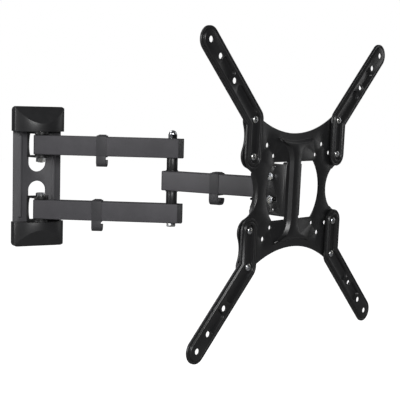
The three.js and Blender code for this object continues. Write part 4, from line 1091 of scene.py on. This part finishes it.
def hollow_radius(along, depth, lobe):
    """Radius of the hollow arc that touches a lobe and is this deep at the middle."""
    return (depth ** 2 + along ** 2 - lobe ** 2) / (2 * (lobe + depth))


WAIST_RADIUS = hollow_radius(INNER_LOBE[1], INNER_LOBE[0] - WAIST, INNER_LOBE[2])
TOP_RADIUS = hollow_radius(OUTER_LOBE[0], OUTER_LOBE[1] - APEX, OUTER_LOBE[2])


def neck_centre():
    between_lobes = Vector(OUTER_LOBE[:2]) - Vector(INNER_LOBE[:2])
    span = between_lobes.length
    a = NECK_RADIUS + INNER_LOBE[2]
    b = NECK_RADIUS + OUTER_LOBE[2]
    along = (a ** 2 - b ** 2 + span ** 2) / (2 * span)
    out = math.sqrt(a ** 2 - along ** 2)
    one = between_lobes / span
    return Vector(INNER_LOBE[:2]) + one * along + Vector((one.y, -one.x)) * out


def draw_quarter_outline():
    """The plate's edge from its waist round both lobes to the middle of its top.

    At the waist the line lies a bend further in, where the flange starts to fold back.
    """
    waist = Vector((WAIST + WAIST_RADIUS, 0))
    inner = Vector(INNER_LOBE[:2])
    outer = Vector(OUTER_LOBE[:2])
    top = Vector((0, APEX + TOP_RADIUS))
    neck = neck_centre()
    pen(WAIST - FLANGE_BEND, 0)
    arc(waist, -FLANGE_HALF_ANGLE, 16)
    end = math.radians(FLANGE_HALF_ANGLE)
    push(x=FLANGE_BEND * math.cos(end), y=-FLANGE_BEND * math.sin(end))
    corners = (
        (waist, 180 - FLANGE_HALF_ANGLE, heading(waist, inner), 7),
        (inner, heading(inner, waist), heading(inner, neck), 18),
        (neck, heading(neck, inner), heading(neck, outer), 8),
        (outer, heading(outer, neck), heading(outer, top), 18),
        (top, heading(top, outer), -90, 22),
    )
    for centre, first, last, steps in corners:
        arc(centre, (last - first + 180) % 360 - 180, steps)


def heading(start_at, end_at):
    along = end_at - start_at
    return math.degrees(math.atan2(along.y, along.x))


def mirror_four_ways():
    """Doubles what is drawn and visible across both middle lines."""
    for scale in ((-1, 1, 1), (1, -1, 1)):
        everything()
        bpy.ops.mesh.duplicate()
        scale_by(scale)
    weld()


def draw_rib(inset):
    """The rib's outline at one level: straight sides flaring to bell ends that dip in the middle."""
    turn = RIB_FLARE_TURN - RIB_FLARE_EASE * inset
    swing = math.radians(turn)
    centre = Vector((RIB_HALF_WIDTH + RIB_FLARE_RADIUS, RIB_STRAIGHT))
    radius = RIB_FLARE_RADIUS + inset
    leave = centre + Vector((-math.cos(swing), math.sin(swing))) * radius
    tip = Vector((RIB_END_HALF_WIDTH - 1.5 * inset, RIB_END - inset))
    pen(RIB_HALF_WIDTH - inset, 0)
    push(y=RIB_STRAIGHT)
    arc(centre, -turn, 12)
    push(x=tip.x - leave.x, y=tip.y - leave.y)
    end_radius = (tip.x ** 2 + RIB_END_DIP ** 2) / (2 * RIB_END_DIP)
    lean = math.degrees(math.asin(tip.x / end_radius))
    arc((0, tip.y - RIB_END_DIP + end_radius), -lean, 14)
    mirror_four_ways()


def window_edge(up):
    """The bulging side of a window: its arc's centre and radius, and the swing to this height."""
    sag = WINDOW_BULGE - WINDOW_CORNER
    radius = (WINDOW_HALF_HEIGHT ** 2 + sag ** 2) / (2 * sag)
    return WINDOW_BULGE - radius, radius, math.degrees(math.asin(up / radius))


def edge_across(up):
    centre, radius, _ = window_edge(up)
    return centre + math.sqrt(radius ** 2 - up ** 2)


def draw_window():
    """A half-moon opening; its straight side keeps the folded ear, with a kerf at both ends."""
    centre, _, swing = window_edge(WINDOW_HALF_HEIGHT)
    ear_half = WINDOW_HALF_HEIGHT - EAR_KERF
    fold_at = EAR_OUTSIDE - EAR_BEND
    pen(fold_at, -ear_half)
    draw_kerf_end()
    push(x=edge_across(WINDOW_HALF_HEIGHT) - fold_at)
    arc((centre, 0), 2 * swing, 24)
    push(x=fold_at - edge_across(WINDOW_HALF_HEIGHT))
    draw_kerf_end()
    push(y=-2 * ear_half)


def draw_kerf_end():
    """The rounded end of the cut that frees the ear from the sheet."""
    round_x, round_y = 0.8, 0.6
    push(x=-round_x, y=-round_y)
    push(y=-EAR_KERF + 2 * round_y)
    push(x=round_x, y=-round_y)


def fold_waist_flanges():
    """Folds both waist flanges back round a bend."""
    for side in (-1, 1):
        bent_in = 0
        centre = side * (WAIST + WAIST_RADIUS)
        pick(lambda co: on_waist(co, side), "edges")
        for step in range(1, FLANGE_BEND_STEPS + 1):
            turn = math.radians(90) * step / FLANGE_BEND_STEPS
            last = math.radians(90) * (step - 1) / FLANGE_BEND_STEPS
            reach = WAIST_RADIUS + FLANGE_BEND * (1 - math.sin(turn))
            before = WAIST_RADIUS + FLANGE_BEND * (1 - math.sin(last))
            drop = FLANGE_BEND * (1 - math.cos(turn))
            push(z=bent_in - drop)
            bent_in = drop
            share = reach / before
            scale_by((share, share, 1), (centre, 0, 0))
        push(z=-(FLANGE_DEPTH - FLANGE_BEND))
        for turn, lift in FLANGE_TAPER:
            out = math.sin(math.radians(turn)) * WAIST_RADIUS
            pick(lambda co: co.z < -FLANGE_BEND and co.x * side > 0 and abs(co.y) > out)
            move(z=lift)


def on_waist(co, side):
    away = math.hypot(co.x - side * (WAIST + WAIST_RADIUS), co.y)
    near_line = abs(away - WAIST_RADIUS - FLANGE_BEND) < 0.05
    return near_line and abs(co.y) < WAIST_RADIUS and abs(co.x) < BOLT_ACROSS


def ear_sheet(side):
    """A half-moon ear folded back round a bend, still one sheet thin, with its small holes."""
    half = WINDOW_HALF_HEIGHT - EAR_KERF
    centre, _, swing = window_edge(half)
    ear = start_empty()
    pen(EAR_BEND, -half)
    push(x=edge_across(half) - WINDOW_INNER - EAR_BEND)
    arc((centre - WINDOW_INNER, 0), 2 * swing, 24)
    push(x=EAR_BEND - edge_across(half) + WINDOW_INNER)
    push(y=-2 * half)
    round_loop(PLATE_TO_TILT, TILT_UP, TILT_SHANK + HOLE_CLEARANCE)
    for up in EAR_EYES:
        round_loop(EAR_EYES_BACK, up, EAR_EYE_RADIUS, 16)
    weld()
    draw_lock_slot()
    fill_between_loops()
    pick(lambda co: co.x < EAR_BEND + 0.01, "edges")
    bpy.ops.mesh.spin(steps=6, angle=math.radians(90), center=(EAR_BEND, 0, -EAR_BEND), axis=(0, 1, 0))
    close()
    return lay(ear, axes((side * EAR_OUTSIDE, 0, 0), (0, 0, -1), (0, 1, 0), (side, 0, 0)))


def draw_lock_slot():
    """The curved slot that the lock bolt slides in as the screen tilts."""
    width = TILT_SHANK + HOLE_CLEARANCE
    low = TILT_TRAVEL[0] - 1
    high = TILT_TRAVEL[1] + 1

    def at(turn, radius):
        swing = math.radians(turn)
        return Vector((PLATE_TO_TILT - radius * math.sin(swing), TILT_UP - radius * math.cos(swing)))

    first = at(low, LOCK_DROP + width)
    pen(first.x, first.y)
    arc((PLATE_TO_TILT, TILT_UP), low - high, 12)
    arc(at(high, LOCK_DROP), -180, 8)
    arc((PLATE_TO_TILT, TILT_UP), high - low, 12)
    arc(at(low, LOCK_DROP), -180, 8)


def screen_plate():
    """The pressed plate behind the screen: a raised rib, two windows and the ears folded from them."""
    piece = start_empty()
    draw_quarter_outline()
    mirror_four_ways()
    for side in (1, -1):
        set_aside()
        draw_window()
        bring_back(scale=(side, 1, 1))
    for across in (-1, 1):
        for up in (-1, 1):
            for x, y, radius in SCREEN_HOLES:
                round_loop(across * x, up * y, radius)
            for y in (BOLT_INNER, BOLT_OUTER):
                round_loop(across * BOLT_ACROSS, up * y, SCREW_SHANK + HOLE_CLEARANCE)
    weld()
    stepped(draw_rib, RIB_STEPS)
    bpy.ops.mesh.edge_face_add()
    bpy.ops.mesh.quads_convert_to_tris(quad_method="BEAUTY", ngon_method="BEAUTY")
    fill_level(0)
    fold_waist_flanges()
    close()
    look_out(joined(piece, ear_sheet(-1), ear_sheet(1)))
    thicken(piece, SCREEN_SHEET, even=False)
    soften(piece, 0.45, 2, 55)
    collars = []
    for side in (-1, 1):
        for up in (-BOLT_OUTER, -BOLT_INNER, BOLT_INNER, BOLT_OUTER):
            collar = ring(COLLAR_RADIUS, SCREW_SHANK + HOLE_CLEARANCE, COLLAR_DEPTH)
            reopen(collar)
            everything()
            move(side * BOLT_ACROSS, up, -SCREEN_SHEET - COLLAR_DEPTH)
            collars.append(close())
    return joined(piece, *collars)


# ---------- Extension arms ----------
def draw_arm_outline(half_width, tip):
    """A bent bar with round ends: upright over the plate, then off along the diagonal."""
    corner = half_width * math.tan(math.radians(22.5))
    lean = math.sqrt(0.5)
    along = (tip - BOLT_ACROSS) / lean
    pen(BOLT_ACROSS - half_width, BOLT_INNER)
    arc((BOLT_ACROSS, BOLT_INNER), 180, 20)
    push(y=BOLT_OUTER - BOLT_INNER - corner)
    push(x=(along - corner) * lean, y=(along - corner) * lean)
    arc((tip, tip), 180, 20)
    push(x=-along * lean, y=-along * lean)
    arc((BOLT_ACROSS, BOLT_OUTER), 45, 6)
    push(y=BOLT_INNER - BOLT_OUTER)


def draw_short_pocket(half_width):
    """A rounded pocket on the diagonal between the two outer screw holes."""
    lean = math.sqrt(0.5)
    corner = SHORT_POCKET_CORNER
    half_length = (ARM_HOLES[1] - ARM_HOLES[2]) / lean / 2 - SHORT_POCKET_END + half_width
    middle = (ARM_HOLES[1] + ARM_HOLES[2]) / 2
    along = Vector((lean, lean)) * (half_length - corner)
    out = Vector((lean, -lean)) * (half_width - corner)
    off = Vector((lean, -lean)) * corner
    first = Vector((middle, middle)) - along + out
    pen(first.x + off.x, first.y + off.y)
    push(x=2 * along.x, y=2 * along.y)
    arc(first + 2 * along, 90, 5)
    push(x=-2 * out.x, y=-2 * out.y)
    arc(first + 2 * along - 2 * out, 90, 5)
    push(x=-2 * along.x, y=-2 * along.y)
    arc(first - 2 * out, 90, 5)
    push(x=2 * out.x, y=2 * out.y)
    arc(first, 90, 5)


def extension_arm():
    """The top right arm: a pressed tray with a groove round its rim, pads round its holes."""
    piece = start_empty()
    stepped(lambda half_width: draw_arm_outline(half_width, ARM_HOLES[0]), ARM_RIM_STEPS)
    stepped(lambda half_width: draw_arm_outline(half_width, LONG_POCKET_TIP), POCKET_STEPS)
    stepped(draw_short_pocket, POCKET_STEPS)
    bpy.ops.mesh.edge_face_add()
    set_aside()
    for at in ARM_HOLES:
        round_loop(at, at, ARM_HOLE_RADIUS, 28)
    bring_back(z=ARM_PAD)
    set_aside()
    for at in (BOLT_INNER, BOLT_OUTER):
        round_loop(BOLT_ACROSS, at, SCREW_SHANK + HOLE_CLEARANCE, 20)
    bring_back(z=ARM_FLOOR)
    fill_level(ARM_PAD)
    fill_level(ARM_FLOOR, lambda co: co.x + co.y < 2 * LONG_POCKET_TIP + 20)
    close()
    look_out(piece)
    return thicken(piece, ARM_SHEET, even=False)


# ---------- Build ----------
def build_wall_group():
    place(wall_plate(), "wall_plate", WALL_SHEET, PLATE_GREY)
    bracket = pivot_bracket()
    top = cover()
    bottom = copy_of(top)
    length = 2 * EAR_OUTER + 2 * GAP + NUT_HEIGHT + THREAD_END
    bolt = hex_bolt(PIVOT_SHANK, PIVOT_FLATS, HEAD_HEIGHT, length)
    nut = hex_nut(PIVOT_SHANK, PIVOT_FLATS, NUT_HEIGHT)
    glide = ring(GLIDE_RADIUS, PIVOT_SHANK + HOLE_CLEARANCE, GLIDE)
    for name, level in (("upper", TUBE_LEVEL), ("lower", -TUBE_LEVEL)):
        pivot = shifted(WALL, 0, -PIVOT_DEPTH, level)
        place(copy_of(bracket), f"{name}_pivot_bracket", shifted(WALL, z=level), FORMED_BLACK)
        place(copy_of(bolt), f"{name}_wall_bolt", shifted(pivot, z=EAR_OUTER + GAP), ZINC)
        place(copy_of(nut), f"{name}_wall_nut", shifted(pivot, z=-EAR_OUTER - GAP - NUT_HEIGHT), ZINC)
        place(copy_of(glide), f"{name}_wall_glide_top", shifted(pivot, z=GLIDE_LEVELS[0]), NYLON)
        place(copy_of(glide), f"{name}_wall_glide_bottom", shifted(pivot, z=GLIDE_LEVELS[1]), NYLON)
    place(top, "top_cover", WALL, COVER_BLACK)
    place(bottom, "bottom_cover", WALL @ Matrix.Diagonal((1, 1, -1, 1)), COVER_BLACK)
    bpy.data.objects.remove(bracket)
    return bolt, nut, glide


def build_arms(bolt, nut, glide):
    clip = cable_clip()
    thick = end_cap(THICK_CAP, 4)
    thin = end_cap(THIN_CAP, 0)
    turned = Matrix.Rotation(math.pi, 4, "Z")
    for name, level in (("upper", TUBE_LEVEL), ("lower", -TUBE_LEVEL)):
        pivot = shifted(ARM_1, 0, 0, level)
        body = tube(-FIRST_PAST_WALL, FIRST_ARM + FIRST_PAST_ELBOW, (0, FIRST_ARM))
        wall_end = shifted(pivot, -FIRST_PAST_WALL) @ turned
        elbow_end = shifted(pivot, FIRST_ARM + FIRST_PAST_ELBOW)
        place(body, f"{name}_tube", pivot, TUBE_GREY)
        place(copy_of(thin), f"{name}_tube_wall_cap", wall_end, CAP_BLACK)
        place(copy_of(thick), f"{name}_tube_elbow_cap", elbow_end, CAP_BLACK)
        place(copy_of(clip), f"{name}_cable_clip", shifted(pivot, CLIP_AT[name]), CLIP_BLACK)
    stack = TUBE_HEIGHT / 2 + STACK
    length = TUBE_LEVEL - TUBE_HEIGHT / 2 - GAP - stack
    elbow = shifted(ARM_1, FIRST_ARM)
    spacer = ring(SPACER_RADIUS, PIVOT_SHANK + HOLE_CLEARANCE, length, 0.5)
    place(copy_of(spacer), "upper_spacer", shifted(elbow, z=stack), FORMED_BLACK)
    place(spacer, "lower_spacer", shifted(elbow, z=-stack - length), FORMED_BLACK)
    place(copy_of(glide), "elbow_glide_top", shifted(elbow, z=GLIDE_LEVELS[0]), NYLON)
    place(copy_of(glide), "elbow_glide_bottom", shifted(elbow, z=GLIDE_LEVELS[1]), NYLON)
    top = TUBE_LEVEL + TUBE_HEIGHT / 2 + GAP
    long_bolt = hex_bolt(PIVOT_SHANK, PIVOT_FLATS, HEAD_HEIGHT, 2 * top + CAP_NUT_HEX)
    place(long_bolt, "elbow_bolt", shifted(elbow, z=-top) @ Matrix.Rotation(math.pi, 4, "X"), ZINC)
    place(cap_nut(), "elbow_cap_nut", shifted(elbow, z=top), CHROME, smooth=30)

    body = tube(-SECOND_PAST, SECOND_ARM + SECOND_PAST, (0, SECOND_ARM))
    place(body, "second_arm_tube", ARM_2, TUBE_GREY)
    place(copy_of(thin), "second_arm_elbow_cap", shifted(ARM_2, -SECOND_PAST) @ turned, CAP_BLACK)
    place(copy_of(thin), "second_arm_head_cap", shifted(ARM_2, SECOND_ARM + SECOND_PAST), CAP_BLACK)
    place(copy_of(clip), "second_arm_cable_clip", shifted(ARM_2, CLIP_AT["second"]), CLIP_BLACK)

    place(head_bracket(), "head_bracket", HEAD, FORMED_BLACK)
    grip = 2 * HEAD_EAR_OUTER + 2 * GAP + NUT_HEIGHT + THREAD_END
    swivel = hex_bolt(PIVOT_SHANK, PIVOT_FLATS, HEAD_HEIGHT, grip)
    place(swivel, "swivel_bolt", shifted(HEAD, z=HEAD_EAR_OUTER + GAP), ZINC)
    place(copy_of(nut), "swivel_nut", shifted(HEAD, z=-HEAD_EAR_OUTER - GAP - NUT_HEIGHT), ZINC)
    place(copy_of(glide), "swivel_glide_top", shifted(HEAD, z=GLIDE_LEVELS[0]), NYLON)
    place(copy_of(glide), "swivel_glide_bottom", shifted(HEAD, z=GLIDE_LEVELS[1]), NYLON)
    outside = EAR_OUTSIDE + GAP
    cross = hex_bolt(TILT_SHANK, TILT_FLATS, TILT_HEAD, 2 * outside + TILT_NUT + THREAD_END)
    cross_nut = hex_nut(TILT_SHANK, TILT_FLATS, TILT_NUT)
    for name, up in (("tilt_pivot", TILT_UP), ("tilt_lock", TILT_UP - LOCK_DROP)):
        left = shifted(HEAD, TILT_REACH, -outside, up) @ Matrix.Rotation(math.pi / 2, 4, "X")
        right = shifted(HEAD, TILT_REACH, outside, up) @ Matrix.Rotation(-math.pi / 2, 4, "X")
        place(copy_of(cross), f"{name}_bolt", left, ZINC)
        place(copy_of(cross_nut), f"{name}_nut", right, ZINC)
    for spare in (bolt, nut, glide, clip, thick, thin, cross, cross_nut):
        bpy.data.objects.remove(spare)


def build_screen_frame():
    place(screen_plate(), "screen_plate", FACE, PRESSED_BLACK)
    arm = extension_arm()
    screw = arm_screw()
    for row, up in (("top", 1), ("bottom", -1)):
        for column, across in (("left", -1), ("right", 1)):
            mirrored = FACE @ Matrix.Diagonal((across, up, 1, 1))
            place(copy_of(arm), f"arm_{row}_{column}", mirrored, PRESSED_BLACK)
            for which, height in (("inner", BOLT_INNER), ("outer", BOLT_OUTER)):
                at = shifted(FACE, across * BOLT_ACROSS, up * height, ARM_FLOOR + GAP)
                place(copy_of(screw), f"arm_screw_{row}_{column}_{which}", at, ZINC)
    bpy.data.objects.remove(arm)
    bpy.data.objects.remove(screw)


build_arms(*build_wall_group())
build_screen_frame()


# ---------- Studio ----------
FLOOR_BELOW = 0.16
FLOOR_RADIUS = 7
SOFTBOXES = (   # name, place, width, height, power
    ("left_softbox", (-2.0, -0.3, 0.5), 0.5, 1.5, 17),
    ("front_softbox", (-0.35, -2.3, 0.75), 1.0, 0.9, 40),
    ("right_softbox", (2.0, -0.2, 0.5), 0.4, 1.5, 2.5),
    ("back_softbox", (-0.6, 0.9, 1.5), 1.2, 0.8, 8),
)
CAMERA_AT = (-0.51726, -1.52825, 0.11467)
CAMERA_TURN = (84.7485, -1.3742, -27.7637)
CAMERA_LENS = 91.485


def studio():
    low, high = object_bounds()
    middle = (low + high) / 2
    under = (middle.x, middle.y, low.z - FLOOR_BELOW)
    floor = start("circle", vertices=96, radius=FLOOR_RADIUS, fill_type="NGON", location=under)
    close()
    floor.name = "studio_floor"
    paint, nodes, links, shader = new_material("pale_floor")
    shader.inputs["Base Color"].default_value = (0.35, 0.35, 0.35, 1)
    shader.inputs["Roughness"].default_value = 0.8
    shader.inputs["Emission Color"].default_value = (1, 1, 1, 1)
    seen = nodes.new("ShaderNodeLightPath").outputs["Is Camera Ray"]
    links.new(math_node(nodes, links, "MULTIPLY", seen, 1.0), shader.inputs["Emission Strength"])
    floor.data.materials.append(paint)
    floor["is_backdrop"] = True

    world = bpy.data.worlds.new("studio")
    bpy.context.scene.world = world
    world.use_nodes = True
    nodes, links = world.node_tree.nodes, world.node_tree.links
    sky = nodes["Background"]
    sky.inputs["Color"].default_value = (1, 1, 1, 1)
    sky.inputs["Strength"].default_value = 1.0
    dim = nodes.new("ShaderNodeBackground")
    dim.inputs["Color"].default_value = (0.95, 0.97, 1, 1)
    dim.inputs["Strength"].default_value = 0.09
    choose = nodes.new("ShaderNodeMixShader")
    links.new(nodes.new("ShaderNodeLightPath").outputs["Is Camera Ray"], choose.inputs[0])
    links.new(dim.outputs[0], choose.inputs[1])
    links.new(sky.outputs[0], choose.inputs[2])
    links.new(choose.outputs[0], nodes["World Output"].inputs["Surface"])

    for name, at, width, height, power in SOFTBOXES:
        light = bpy.data.lights.new(name, "AREA")
        light.shape = "RECTANGLE"
        light.size = width
        light.size_y = height
        light.energy = power
        lamp = bpy.data.objects.new(name, light)
        bpy.context.scene.collection.objects.link(lamp)
        lamp.location = at
        lamp.rotation_euler = (middle - Vector(at)).to_track_quat("-Z", "Y").to_euler()


def camera():
    data = bpy.data.cameras.new("camera")
    data.sensor_width = 36
    data.lens = CAMERA_LENS
    data.clip_start = 0.05
    data.clip_end = 50
    made = bpy.data.objects.new("camera", data)
    bpy.context.scene.collection.objects.link(made)
    made.location = CAMERA_AT
    made.rotation_euler = tuple(math.radians(turn) for turn in CAMERA_TURN)
    bpy.context.scene.camera = made


studio()
camera()
bpy.context.scene.view_settings.view_transform = "Standard"
